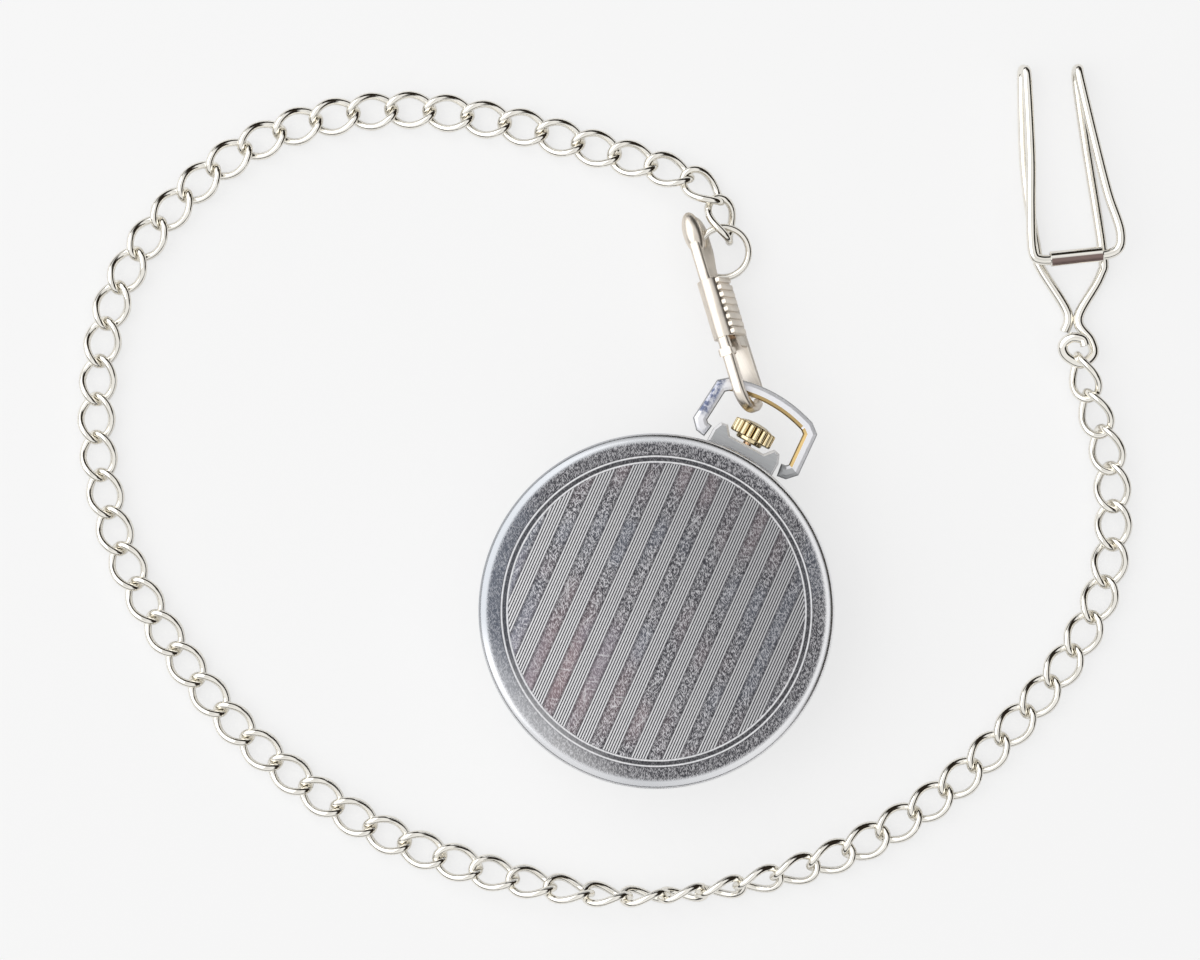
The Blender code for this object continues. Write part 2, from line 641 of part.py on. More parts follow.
def pallet_bridge():
    """Low bridge over the escape wheel and the fork, on a round foot."""
    foot_place = (5.5, -13.0)
    (ex, ey), (px, py) = PLACES["escape"], PLACES["pallet"]
    outline = arc(1.2, 180, 360, 6, foot_place) + arc(0.7, 0, 90, 3, (px, py)) + arc(0.8, 90, 180, 3, (ex, ey))
    holes = plate_holes(("escape", "pallet"))
    top = slab("pallet_bridge", [outline] + holes, *PALLET_BRIDGE_LEVEL, STEEL)
    base = PLATE_LEVEL[1] + FIT
    post = [(0, 7.6), (1.0, 7.6), (1.0, base), (0, base)]
    return combine(top, [turned("post", post, 10, STEEL, place=(*foot_place, 0))], "UNION")


def dial():
    """Silvered disc with holes for the hands' arbors."""
    holes = [circle(1.35, 16), circle(0.7, 12, PLACES["fourth"])]
    return slab("dial", [circle(DIAL_RADIUS, CASE_STEPS)] + holes, *DIAL_LEVEL, DIAL_PAINT)


def hand(name, length, width, tail, level, bore, hub, key, turn):
    """Leaf-shaped hand with a round hub, pointing along its own +Y before it is turned."""
    rise = (hub**2 - (width / 2) ** 2) ** 0.5
    hub_right = arc(hub, -60, 60, 4)
    leaf = [(width / 2, rise), (width, length * 0.45), (width * 0.25, length), (-width * 0.25, length)]
    leaf += [(-width, length * 0.45), (-width / 2, rise)]
    left = [(-x, y) for x, y in reversed(hub_right)]
    end = [(-width * 0.4, -tail), (width * 0.4, -tail)] if tail > hub else []
    loops = [hub_right + leaf + left + end, circle(bore, 10)]
    return slab(name, loops, *level, BLUED, (*PLACES[key], 0), (0, 0, turn))


def hour_wheel():
    """Toothed wheel behind the dial on a pipe that carries the hour hand."""
    teeth = slab("hour_wheel", [toothed(HOUR_TEETH, HOUR_MODULE), circle(0.85, 10)], *HOUR_WHEEL_LEVEL, GILT)
    tip = HOUR_HAND_LEVEL[0]
    pipe = turned("pipe", [(1.0, 3.7), (1.0, tip), (0.7, tip), (0.7, 3.7)], 12, GILT, closed=True)
    return combine(teeth, [pipe], "UNION")


def clasp_matrix():
    """The clasp's plane: along the clasp, across to the lever and through its width, hooked on the bow's bar."""
    flat = (Vector(CLASP_HOOK_END) - Vector(CLASP_EYE_END)).normalized()
    along = Vector((flat.x, flat.y, CLASP_RISE)).normalized()
    side = Vector((-flat.y, flat.x, 0))
    across = side * cos(CLASP_TILT) - Vector((0, 0, sin(CLASP_TILT)))
    across = (across - along * across.dot(along)).normalized()
    through = along.cross(across)
    turn = Matrix.Rotation(TABLE_TURN, 4, "Z")
    frame = turn @ Matrix((along, across, through)).transposed().to_4x4()
    bar = Vector((BAR_X, BOW_TOP_Y - BOW_ARCH * BAR_X**2, STEM_HEIGHT))
    start = bar - frame.to_3x3() @ Vector((*BAR_IN_HOOK, 0))
    return Matrix.Translation(start * MM) @ frame


CLASP = clasp_matrix()


def clasp_sleeve():
    """Ribbed grip: an arch over the strip, lofted in rows that swell at each rib."""
    rows = []
    for i in range(SLEEVE_RIBS):
        for share, swell in ((0, 0), (0.2, RIB_SWELL), (0.7, RIB_SWELL), (0.9, 0)):
            rows.append((SLEEVE_START + (i + share) * RIB_PITCH, swell))
    body = bmesh.new()
    rings = []
    for u, swell in rows:
        outer, inner = SLEEVE_OUTSIDE + swell, SLEEVE_INSIDE
        section = [(SLEEVE_DEPTH, outer)] + arc(outer, 90, 270, 6, (SLEEVE_MIDDLE, 0)) + [(SLEEVE_DEPTH, -outer)]
        section += [(SLEEVE_DEPTH, -inner)] + arc(inner, 270, 90, 4, (SLEEVE_MIDDLE, 0)) + [(SLEEVE_DEPTH, inner)]
        rings.append([body.verts.new((u * MM, v * MM, w * MM)) for v, w in section])
    count = len(rings[0])
    for near, far in zip(rings, rings[1:]):
        for i in range(count):
            j = (i + 1) % count
            body.faces.new((near[i], near[j], far[j], far[i]))
    body.faces.new(rings[0][::-1])
    body.faces.new(rings[-1])
    bmesh.ops.recalc_face_normals(body, faces=body.faces)
    mesh = bpy.data.meshes.new("clasp_sleeve")
    body.to_mesh(mesh)
    body.free()
    return finish(bpy.data.objects.new("clasp_sleeve", mesh), "clasp_sleeve", NICKEL)


def clasp_hook():
    """Cast strip with an eye for the ring, a ribbed grip, an ear for the pin and a hook round the bow."""
    loop = arc(2.5, 90, 270, 8, (2.5, 2.5))
    hook = [(HOOK_MIDDLE - 2.4, 0)] + arc(3.5, -90, 52, 8, (HOOK_MIDDLE, 3.5))
    inner = [(HOOK_MIDDLE + 1.55, 5.75)] + arc(2.5, 45, -85, 7, (HOOK_MIDDLE, 3.7))
    inner += [(HOOK_MIDDLE - 2.4, STRIP), (12.8, STRIP)]
    ear = [(12.0, 3.4), (11.4, 4.1), (10.3, 4.1), (9.6, 3.0), (7.4, 2.2), (6.5, 4.2), (4.9, 5.0)]
    eye = arc(1.4, 90, 270, 6, (2.5, 2.5)) + [(5.0, 1.2), (5.6, 2.0), (5.4, 3.3), (4.7, 3.9)]
    hole = circle(CLASP_PIN_RADIUS + 0.06, 10, CLASP_PIN)
    body = slab("clasp_hook", [loop + hook + inner + ear, eye, hole], -EAR_HALF_WIDTH, EAR_HALF_WIDTH, NICKEL)
    rib = [(2.6, -0.1)] + arc(3.6, -90, 46, 7, (HOOK_MIDDLE, 3.5))
    rib += arc(2.4, 40, -85, 7, (HOOK_MIDDLE, 3.7)) + [(HOOK_MIDDLE - 2.4, STRIP + 0.1), (2.6, STRIP - 0.1)]
    strip = slab("strip", [rib], -HOOK_HALF_WIDTH, HOOK_HALF_WIDTH, NICKEL)
    collar = [(19.0, -0.25), (20.1, -0.25), (20.1, STRIP + 0.25), (19.0, STRIP + 0.25)]
    band = slab("collar", [collar], -HOOK_HALF_WIDTH - 0.15, HOOK_HALF_WIDTH + 0.15, NICKEL)
    body = combine(body, [strip, band, clasp_sleeve()], "UNION")
    body.matrix_world = CLASP
    return body


def clasp_lever():
    """Folded lever in the grip: ribbed thumb face, slotted for the ear, and a gate on to the hook's tip."""
    ribs = []
    for i in range(LEVER_RIBS):
        u = 10.4 + i
        ribs += [(u, 6.2), (u + 0.3, 6.5), (u + 0.7, 6.5)]
    back = [(9.8, 5.3)] + ribs + [(18.4, 6.3), (19.0, 5.6)]
    front = [(18.8, 3.4), (12.6, 2.4), (10.1, 2.6)]
    hole = circle(CLASP_PIN_RADIUS + 0.06, 10, CLASP_PIN)
    lever = slab("clasp_lever", [back + front, hole], -LEVER_HALF_WIDTH, LEVER_HALF_WIDTH, NICKEL)
    inside = [(9.0, 0), (20.0, 0), (20.0, 5.2), (9.0, 5.2)]
    slot = slab("slot", [inside], -EAR_HALF_WIDTH - 0.1, EAR_HALF_WIDTH + 0.1, NICKEL)
    tip = HOOK_MIDDLE + 1.2
    leaf = [(17.0, 5.3), (tip, 5.8), (tip, 6.4), (17.0, 6.1)]
    gate = slab("gate", [leaf], -GATE_HALF_WIDTH, GATE_HALF_WIDTH, NICKEL)
    lever = combine(combine(lever, [slot], "DIFFERENCE"), [gate], "UNION")
    lever.matrix_world = CLASP @ Matrix.Translation(Vector((*CLASP_PIN, 0)) * MM)
    lever.data.transform(Matrix.Translation(Vector((*CLASP_PIN, 0)) * -MM))
    return lever


def clasp_pin():
    """Rivet through lever and ear."""
    reach = LEVER_HALF_WIDTH + 0.05
    profile = [(0, reach), (CLASP_PIN_RADIUS, reach), (CLASP_PIN_RADIUS, -reach), (0, -reach)]
    pin = turned("clasp_pin", profile, 10, NICKEL)
    pin.matrix_world = CLASP @ Matrix.Translation(Vector((*CLASP_PIN, 0)) * MM)
    return pin


def clasp_spring():
    """Leaf between strip and lever that pushes the gate shut."""
    path = [(13.0, 1.5), (14.5, 1.6), (16.0, 2.2), (17.2, 3.4), (17.3, 4.6)]
    leaf = slab("clasp_spring", [strip_outline(path, 0.22)], -0.45, 0.45, BLUED)
    leaf.matrix_world = CLASP
    return leaf


def jump_ring():
    """Round ring that crosses the clasp's plane in the eye and under it."""
    inside, outside = Vector((*RING_IN_EYE, 0)), Vector((*RING_UNDER_EYE, 0))
    chord = (outside - inside).normalized()
    lean = Vector((-chord.y, chord.x, 0)) * cos(RING_LEAN) + Vector((0, 0, sin(RING_LEAN)))
    offset = (RING_RADIUS**2 - ((outside - inside).length / 2) ** 2) ** 0.5
    middle = (inside + outside) / 2 + lean * offset
    points = [CLASP @ ((middle + chord * x + lean * y) * MM) for x, y in circle(RING_RADIUS, 16)]
    return wire("jump_ring", points, RING_WIRE, NICKEL, cyclic=True)


def link_path(place, heading, roll):
    """One curb link's middle line: an oval loop twisted about its length."""
    half_length = LINK_LENGTH / 2 - WIRE_RADIUS
    half_width = LINK_WIDTH / 2 - WIRE_RADIUS
    frame = Matrix.Translation(place * MM) @ Matrix.Rotation(heading, 4, "Z") @ Matrix.Rotation(roll, 4, "X")
    points = []
    for i in range(LINK_SEGMENTS):
        angle = tau * (i + 0.5) / LINK_SEGMENTS
        x = half_length * cos(angle) / cos(pi / LINK_SEGMENTS)
        y = half_width * sin(angle) / cos(pi / LINK_SEGMENTS)
        twist = LINK_TWIST * x / half_length
        points.append(frame @ (Vector((x, y * cos(twist), y * sin(twist))) * MM))
    return points


def link(name, place, heading, roll):
    """A closed loop of wire with a few sides, swept along the link's path."""
    return wire(name, link_path(place, heading, roll), WIRE_RADIUS, NICKEL, cyclic=True, resolution=0)


def along_route(dense, lengths, travelled):
    """Place and heading at a distance along the route."""
    i = max(k for k, length in enumerate(lengths[:-1]) if length <= travelled)
    place = dense[i].lerp(dense[i + 1], (travelled - lengths[i]) / (lengths[i + 1] - lengths[i]))
    run = dense[min(i + 2, len(dense) - 1)] - dense[max(i - 1, 0)]
    return place, atan2(run.y, run.x)


def link_roll(travelled, total):
    """Links stand on edge at both ends, where they hold the ring and the clip, and turn over once between."""
    over = (travelled / total - TURN_OVER_START) / (TURN_OVER_END - TURN_OVER_START)
    roll = pi * min(max(over, 0), 1)
    near_ring = max(1 - (travelled - LINK_LENGTH / 2) / END_TURN_LENGTH, 0)
    near_clip = max(1 - (total - LINK_LENGTH / 2 - travelled) / END_TURN_LENGTH, 0)
    return roll + END_TURN * (near_clip - near_ring)


def chain():
    """Runs of touching links along the route, each run a little apart from the next."""
    dense = smooth_route(CHAIN_ROUTE)
    lengths = [0.0]
    for a, b in zip(dense, dense[1:]):
        lengths.append(lengths[-1] + (b - a).length)
    total = lengths[-1]
    reach = LINK_LENGTH / 2 - WIRE_RADIUS
    gaps = (LINK_COUNT - 1) // LINKS_PER_RUN
    touching = (total - 2 * reach - gaps * RUN_SPACING) / (LINK_COUNT - 1 - gaps)
    turn = Matrix.Rotation(TABLE_TURN, 4, "Z")
    runs, travelled = [], reach
    for number in range(LINK_COUNT):
        if number % LINKS_PER_RUN == 0:
            runs.append([])
        place, heading = along_route(dense, lengths, travelled)
        roll = link_roll(travelled, total)
        lift = RING_LIFT * max(1 - travelled / END_TURN_LENGTH, 0)
        place = place + Vector((0, 0, LINK_REST + LINK_ON_EDGE * abs(sin(roll)) + lift))
        runs[-1].append(link("link", turn @ place, TABLE_TURN + heading, roll))
        travelled += RUN_SPACING if (number + 1) % LINKS_PER_RUN == 0 else touching
    made = []
    for number, group in enumerate(runs, 1):
        group[0].name = f"chain_run_{number:02d}"
        made.append(combine(group[0], group[1:], "UNION"))
    return made


def clip_wire():
    """One bent wire: clamp bar and upper legs, hairpin tips, lower legs, throat and the eye's scroll."""
    up, low = CLIP_UPPER, CLIP_LOWER
    mid = (up + low) / 2
    upper_left = [(56.0, 48.0, up), (52.6, 47.7, up), (51.4, 49.0, up)]
    upper_left += [(51.0, 54.4, up - 0.6), (50.5, 72.5, up - 1.0)]
    hairpin_left = [(50.4, 74.0, mid), (50.6, 72.8, low)]
    lower_left = [(52.2, 49.0, low), (52.9, 46.6, low), (56.3, 40.9, low), (56.2, 37.4, low)]
    eye = [(55.6, 35.9, low + 0.3), (56.2, 34.2, low + 0.9), (57.9, 33.6, low + 1.6), (59.4, 34.6, low + 1.8)]
    tail = [(59.8, 36.2, low + 1.6), (58.0, 39.6, low + 0.9), (61.0, 45.6, low), (61.3, 49.2, low)]
    lower_right = [(58.1, 72.8, low)]
    hairpin_right = [(57.9, 74.2, mid)]
    upper_right = [(58.1, 72.6, up - 1.0), (62.2, 56.7, up - 0.6)]
    upper_right += [(63.5, 51.0, up), (62.4, 48.7, up), (56.9, 48.1, up)]
    route = upper_left + hairpin_left + lower_left + eye + tail + lower_right + hairpin_right + upper_right
    turn = Matrix.Rotation(TABLE_TURN, 4, "Z")
    points = [turn @ (p * MM) for p in smooth_route(route, 3)]
    return wire("clip_wire", points, CLIP_WIRE, NICKEL)


def clip_barrel():
    """Rolled sleeve over the two ends of the wire on the clamp bar."""
    start, end = Vector((53.8, 47.8, CLIP_UPPER)), Vector((61.0, 48.55, CLIP_UPPER))
    bore = CLIP_WIRE + 0.16
    half = (end - start).length / 2
    profile = [(bore + 0.35, half), (bore + 0.35, -half), (bore, -half), (bore, half)]
    sleeve = turned("clip_barrel", profile, 14, NICKEL, closed=True)
    run = (end - start).normalized()
    turn = Matrix.Rotation(TABLE_TURN, 4, "Z") @ Matrix.Translation((start + end) / 2 * MM)
    sleeve.matrix_world = turn @ run.to_track_quat("Z", "Y").to_matrix().to_4x4()
    return sleeve


def build():
    bow()
    case = [case_back(), case_band(), bezel(), crystal(), pendant(), dial()]
    frame = [main_plate(), train_bridge(), pallet_bridge(), balance_cock()]
    wheels = [*train(), barrel(), *ratchet_and_crown_wheels(), hour_wheel()]
    escapement = [pallet_fork(), balance_wheel(), hairspring()]
    hands = [
        hand("hour_hand", 10.5, 0.9, 0, HOUR_HAND_LEVEL, 1.06, 1.7, "centre", radians(-55.5)),
        hand("minute_hand", 17.0, 0.7, 0, MINUTE_HAND_LEVEL, 0.45, 1.2, "centre", radians(54)),
        hand("seconds_hand", 4.2, 0.2, 1.6, SECONDS_HAND_LEVEL, 0.42, 0.7, "fourth", radians(130)),
    ]
    winding = [crown(), winding_stem(), winding_pinion()]
    swing = empty("case_pivot", (0, BOW_AXIS_Y, STEM_HEIGHT))
    carry(swing, case + frame + wheels + escapement + hands + winding)
    clasp_hook()
    clasp_lever()
    clasp_pin()
    clasp_spring()
    jump_ring()
    chain()
    clip_wire()
    clip_barrel()


build()
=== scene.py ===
"""Looks of the pocket watch: its metals, engraved back, dial, curb chain, snap clasp and wire clip."""
from math import cos, pi, radians, sin, sqrt, tau

import bpy
from mathutils import Matrix, Vector
from mathutils.geometry import interpolate_bezier


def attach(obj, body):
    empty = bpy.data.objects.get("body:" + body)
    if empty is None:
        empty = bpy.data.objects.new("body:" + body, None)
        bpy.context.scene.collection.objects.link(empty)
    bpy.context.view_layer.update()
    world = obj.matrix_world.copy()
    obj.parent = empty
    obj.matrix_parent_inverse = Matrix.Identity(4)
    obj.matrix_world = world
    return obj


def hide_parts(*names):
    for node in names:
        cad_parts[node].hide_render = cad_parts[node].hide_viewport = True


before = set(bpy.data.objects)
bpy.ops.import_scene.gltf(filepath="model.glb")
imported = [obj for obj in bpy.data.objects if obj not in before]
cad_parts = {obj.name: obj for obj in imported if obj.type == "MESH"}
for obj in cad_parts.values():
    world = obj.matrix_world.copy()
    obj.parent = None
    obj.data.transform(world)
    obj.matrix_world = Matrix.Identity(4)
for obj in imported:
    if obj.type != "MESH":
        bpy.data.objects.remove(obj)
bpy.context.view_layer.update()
MM = 0.001

# Case, in millimetres
CASE_RADIUS = 24.0
THICKNESS = 12.0
BACK_SEAM = 8.6
BEZEL_SEAM = 4.0
FIT = 0.05
ROUND = 144
HUB = 0.5
BACK_STEPS = (HUB, 8.0, 16.0, 21.6)
BACK_FLAT_RADIUS = 22.7
BACK_ROUNDED_FROM = 22.6
BACK_WALL = 0.8
SHOULDER_RADIUS = 2.25
SHOULDER_END = 65
BAND_INSET = 0.1
BAND_SEAT = 21.0
BAND_INSIDE = 20.6
SEAM_ROUND = ((0.4, 0.0), (0.15, 0.12), (0.0, 0.5))
BEZEL_ROUND = 2.6
BEZEL_ROUND_MIDDLE = (CASE_RADIUS - 2.8, 3.3)
CRYSTAL_RADIUS = 20.7
CRYSTAL_PROFILE = [
    (HUB, 1.1), (17.6, 1.1), (19.6, 2.0), (CRYSTAL_RADIUS, 2.0), (CRYSTAL_RADIUS, 1.65), (20.45, 1.4),
    (20.3, 0.9), (19.2, 0.25), (18.6, 0.06), (18.2, 0), (HUB, 0),
]

# Dial: a mark is its half width, inner radius and outer radius
DIAL_RADIUS = 20.4
DIAL_FRONT = 2.8
DIAL_BACK = 3.2
DIAL_EDGE = 0.05
CENTRE_HOLE = 1.35
SECONDS_HOLE = 0.7
SECONDS_MIDDLE = (0, -9.5)
PRINT_DEPTH = 0.02
HOUR_MARK = (0.16, 18.2, 19.3)
MINUTE_MARK = (0.07, 18.7, 19.3)
SECOND_MARK = (0.08, 3.9, 4.8)
TRACKS = ((19.5, (0, 0)), (4.95, SECONDS_MIDDLE))
TRACK_WIDTH = 0.1
FIGURE_SIZE = 4.6
FIGURE_RADIUS = 15.4
COVERED_HOUR = 6

# Engraving of the back: an edge is where a form is full and where it has gone
STRIPE_TURN = radians(4.73)
STRIPE_PERIOD = 3.94
STRIPE_MIDDLE = 1.9
STRIPE_EDGE = (0.98, 1.03)
STRIPE_SHADE = (1.07, 1.5)
WHOLE_PERIODS = 100
LINE_PITCH = 0.344
LINE_FLANK = (0.22, 0.7)
FIELD_EDGE = (19.92, 20.0)
FLAT_EDGE = (22.5, 23.05)
RING_LINES = (20.12, 20.88)
RING_EDGE = (0.06, 0.15)
BACK_SCRATCHES = (0.3, 1.2, 2.1, 2.7)
BACK_FIBRES = (0.08, 2.06, 2.6)
SCRATCH_STRETCH = (9.0, 0.35, 1.0)
FIBRE_STRETCH = (7.0, 1.8, 1.0)
BRUSH_STRETCH = (0.4, 9.0, 1.0)
# the back's painted shade falls away from this side
LIGHT_SIDE = (-0.61, -0.79)
# side and reach of a painted glint on the back
GLINT_SIDE = (-0.28, -0.96)
GLINT_REACH = (16.5, 23)
ROSE_SPOT = (-6.7, -12.8)
ROSE_REACH = (3, 13)
# towards this side the field takes a painted bluish reflection and the rim a painted shade
REFLECTION_SIDE = (-0.877, -0.48)
REFLECTION_REACH = (13, 22)
ACROSS_CASE = (-CASE_RADIUS, CASE_RADIUS)

# Colours
# dark grey of the engraved cuts, and of the painted shade on the back
CUT_AND_SHADE_GREY = (0.06, 0.06, 0.066)
DARK_GREY = (0.085, 0.083, 0.095)
MIDDLE_GREY = (0.86, 0.85, 0.88)
BRIGHT_GREY = (0.98, 0.98, 1.0)
ROSE_GREY = (0.46, 0.33, 0.35)
# bluish grey of a painted reflection on one side of the back, and of a random tone
BLUE_TONE_AND_REFLECTION = (0.33, 0.39, 0.50)
RIM_LIGHT = (0.96, 0.96, 0.98)
# grey of the painted shade on one side of the rim
RIM_PAINTED_SHADE = (0.46, 0.48, 0.51)
BOW_WHITE = (0.93, 0.93, 0.96)
BOW_BLUE = (0.13, 0.16, 0.28)
CROWN_GILT = (0.90, 0.76, 0.48)
# brown of the painted shade in the crown's grooves
GROOVE_SHADE_BROWN = (0.20, 0.12, 0.06)
DIAL_SHADE = (0.80, 0.79, 0.74)
DIAL_LIGHT = (0.91, 0.90, 0.86)
FLOOR_SHADE = (0.92, 0.92, 0.92)
FLOOR_LIGHT = (0.94, 0.94, 0.94)
FLOOR_SEEN = (0.965, 0.965, 0.965)

# Pendant, bow and crown
STEM_HEIGHT = 6.4
PENDANT_HALF_HEIGHT = 2.1
PENDANT_BEVEL = 0.3
PENDANT_SIDE = [(-5.0, 25.4), (-4.5, 26.6), (-3.6, 26.8), (-2.6, 25.6)]
BOW_WIDTH = 1.8
BOW_THICKNESS = 1.4
BOW_BEVEL = 0.55
BOW_TOP_Y = 32.75
BOW_ARCH = 0.028
BOW_TOP_TENTHS = range(-60, 61, 4)
BOW_LEG = [(5.5, 24.75), (6.5, 24.9), (7.25, 25.7), (6.9, 31.0)]
BOW_MIDDLE_Y = 28.0
BOW_FOOT_Y = 25.6
GILT_INNER_FROM = (-5.5, 26.0)
BLUE_LEG_X = (-6.9, -6.4)
BLUE_LEG_Y = (26.0, 27.0)
CROWN_RADIUS = 3.0
CROWN_FLUTES = 18
CROWN_ROUND = 48
FLUTE_POINTS = 10
FLUTE_DEPTH = 0.5
FLUTED_FROM, FLUTED_TO = 26.5, 28.4
CROWN_DOME = [(0.2, 28.9), (1.4, 28.8), (2.3, 28.5), (2.5, 28.2), (2.5, 27.5), (0.2, 27.5)]
CROWN_COLLAR = [(0.2, 27), (1.9, 27), (1.9, 26.15), (1.75, 26.0), (0.2, 26.0)]

# Table frame: millimetres right and up from the case's middle, seen from above
TABLE_TURN = radians(28.73)
TABLE = Matrix.Rotation(TABLE_TURN, 4, "Z")
CAMERA_PLACE = (-7.61, 17.68, 600.0)
CAMERA_LENS = 131.0
SENSOR_WIDTH = 36
NEAREST_SEEN = 0.01

# Floor, lamp and light tent: a stop is a height on the tent and its level; sizes and places in metres
FLOOR_SIZE = 4.0
FLOOR_GAP = 0.03 * MM
FLOOR_GLOW = 0.72
KEY_PLACE = (-0.9, 0.3, 0.8)
KEY_SIZE = 1.7
KEY_WATTS = 8.0
TENT_STOPS = [(0.0, 0.50), (0.05, 0.08), (0.26, 0.08), (0.36, 0.95), (0.90, 1.0), (0.97, 0.86), (1.0, 0.80)]
TENT_STRENGTH = 0.88
OPEN_SIDE = (0.87, 0.5, 0.0)
OPEN_FROM = (0.25, 0.45)
OPEN_UP_TO = (0.63, 0.75)
OPEN_LEVEL = (0.025, 0.02, 0.015)

# Chain
LINK_LENGTH = 7.3
LINK_WIDTH = 5.3
WIRE_RADIUS = 0.52
LINK_TWIST = radians(-42)
LINK_COUNT = 65
LINK_REST = 1.43
LINK_ON_EDGE = 1.4
LINK_POINTS = 40
RING_LIFT = 0.2
END_TURN = radians(-48)
END_TURN_LENGTH = 22.0
TURN_OVER_START = 0.575
TURN_OVER_END = 0.775
TURN_OVER = -pi
ROUTE_STEPS = 12
CHAIN_ROUTE = [
    (9.9, 50.2), (8.6, 54.6), (4.8, 58.8), (-7.6, 62.9), (-21.3, 66.7), (-35.0, 68.4), (-48.7, 66.3),
    (-59.7, 60.8), (-69.3, 51.2), (-74.7, 41.0), (-76.5, 30.0), (-76.1, 19.1), (-72.7, 6.7), (-65.8, -5.6),
    (-55.6, -17.9), (-41.9, -28.2), (-28.2, -34.4), (-13.1, -38.2), (-0.8, -39.2), (12.9, -37.4),
    (26.6, -33.0), (39.0, -25.5), (49.9, -15.2), (58.2, -4.2), (62.3, 6.7), (62.3, 19.1), (59.5, 28.6),
    (57.7, 34.8),
]

# Clasp, in its own plane: u from the eye to the hook, v from the strip to the lever, w across
CLASP_EYE_END = (5.7, 53.0)
CLASP_HOOK_END = (13.2, 27.5)
CLASP_TILT = radians(66)
CLASP_RISE = 0.155
BAR_X = -4.0
BAR_IN_HOOK = (24.6, 2.7)
HOOK_MIDDLE = 24.5
HOOK_START = HOOK_MIDDLE - 2.4
HOOK_OUTSIDE = (HOOK_MIDDLE, 3.5)
HOOK_INSIDE = (HOOK_MIDDLE, 3.7)
STRIP = 1.1
HOOK_HALF_WIDTH = 0.8
COLLAR = [(19.0, -0.3), (20.1, -0.3), (20.1, STRIP + 0.3), (19.0, STRIP + 0.3)]
COLLAR_HALF_WIDTH = HOOK_HALF_WIDTH + 0.25
EYE_RADIUS = 1.25
EYE_PLACE = (3.2, 2.75)
BULB_PLACE = (2.4, 1.0, 0.0)
BULB_RADII = (3.0, 1.3, 1.4)
EAR_HALF_WIDTH = 0.55
EAR = [(12.0, 3.4), (11.4, 4.1), (9.4, 4.0), (7.6, 4.2), (6.2, 4.7), (4.9, 5.0)]
LEVER_HALF_WIDTH = 1.05
LEVER_SLOT = EAR_HALF_WIDTH + 0.1
LEVER_RIBS = 7
LEVER_RIB_RADIUS = 0.45
LEVER_RIB_START = (10.9, 6.1)
LEVER_TOP_END = (18.4, 6.2)
GATE_HALF_WIDTH = 1.2
GATE_START = 17.0
GATE_TIP = HOOK_MIDDLE + 1.2
SLEEVE_START = 9.2
SLEEVE_RIBS = 8
SLEEVE_INSIDE = 1.2
SLEEVE_OUTSIDE = 1.6
SLEEVE_DEPTH = 4.4
SLEEVE_MIDDLE = (1.35, 0)
RIB_PITCH = 1.05
RIB_FROM, RIB_TO = 0.08, 0.88
RIB_ROUND = 0.22
RIB_SWELL = 0.3
RIB_THICKNESS = 0.6
RIB_TOPS = ((-1, 2.1), (1, 0.5))
RING_IN_EYE = (3.4, 2.8, 0)
RING_UNDER_EYE = (8.5, 5.2, 0)
RING_LEAN = radians(68)
RING_RADIUS = 3.5
RING_WIRE = 0.47

# Clip of bent wire
CLIP_WIRE = 0.7
CLIP_UPPER = 4.6
CLIP_LOWER = 0.95
CLIP_STEPS = 8
BARREL_START = (53.8, 47.8, CLIP_UPPER)
BARREL_END = (61.0, 48.55, CLIP_UPPER)
BARREL_BORE = CLIP_WIRE + 0.08
BARREL_OUTSIDE = BARREL_BORE + 0.25
BARREL_ROUND = (0.1, 0.12)
BARREL_SEAM_SIDE = (0, -0.55, 0.83)
BARREL_SEAM_FROM = 0.87


class Value:
    """A shader socket that can be used in sums."""

    def __init__(self, nodes, socket):
        self.nodes, self.socket = nodes, socket

    def __add__(self, other):
        return self.nodes.math("ADD", self, other)

    def __radd__(self, other):
        return self.nodes.math("ADD", other, self)

    def __sub__(self, other):
        return self.nodes.math("SUBTRACT", self, other)

    def __rsub__(self, other):
        return self.nodes.math("SUBTRACT", other, self)

    def __mul__(self, other):
        return self.nodes.math("MULTIPLY", self, other)

    def __rmul__(self, other):
        return self.nodes.math("MULTIPLY", other, self)

    def __truediv__(self, other):
        return self.nodes.math("DIVIDE", self, other)

    def __pow__(self, other):
        return self.nodes.math("POWER", self, other)


def set_stops(elements, stops):
    """Give a ramp its grey stops, each a place and a level."""
    for place, _ in stops[1:-1]:
        elements.new(place)
    for element, (place, level) in zip(elements, stops):
        element.position = place
        element.color = (level, level, level, 1)


class Nodes:
    """A node tree, and the ways to add to it."""

    def __init__(self, tree):
        self.tree = tree

    def node(self, kind, settings=None, inputs=None, out=0):
        """Add a node: its settings first, then the values or links of its sockets."""
        made = self.tree.nodes.new(kind)
        for name, value in (settings or {}).items():
            if name == "stops":
                set_stops(made.color_ramp.elements, value)
            else:
                setattr(made, name, value)
        for name, value in (inputs or {}).items():
            self.join(value, made.inputs[name])
        return Value(self, made.outputs[out]) if made.outputs else None

    def join(self, value, socket):
        if isinstance(value, Value):
            self.tree.links.new(value.socket, socket)
        else:
            socket.default_value = value

    def math(self, operation, first, second=0.0):
        return self.node("ShaderNodeMath", {"operation": operation}, {0: first, 1: second})

    def rise(self, value, low, high):
        """0 below low, 1 above high, smooth between."""
        return self.node("ShaderNodeMapRange", {"interpolation_type": "SMOOTHSTEP"}, {
            "Value": value, "From Min": low, "From Max": high,
        })

    def fall(self, value, low, high):
        """1 below low, 0 above high, smooth between."""
        return 1 - self.rise(value, low, high)

    def mix(self, share, first, second):
        """A colour between two, each three numbers or a colour already mixed."""
        ends = [end if isinstance(end, Value) else (*end, 1) for end in (first, second)]
        return self.node("ShaderNodeMix", {"data_type": "RGBA"}, {0: share, 6: ends[0], 7: ends[1]}, 2)


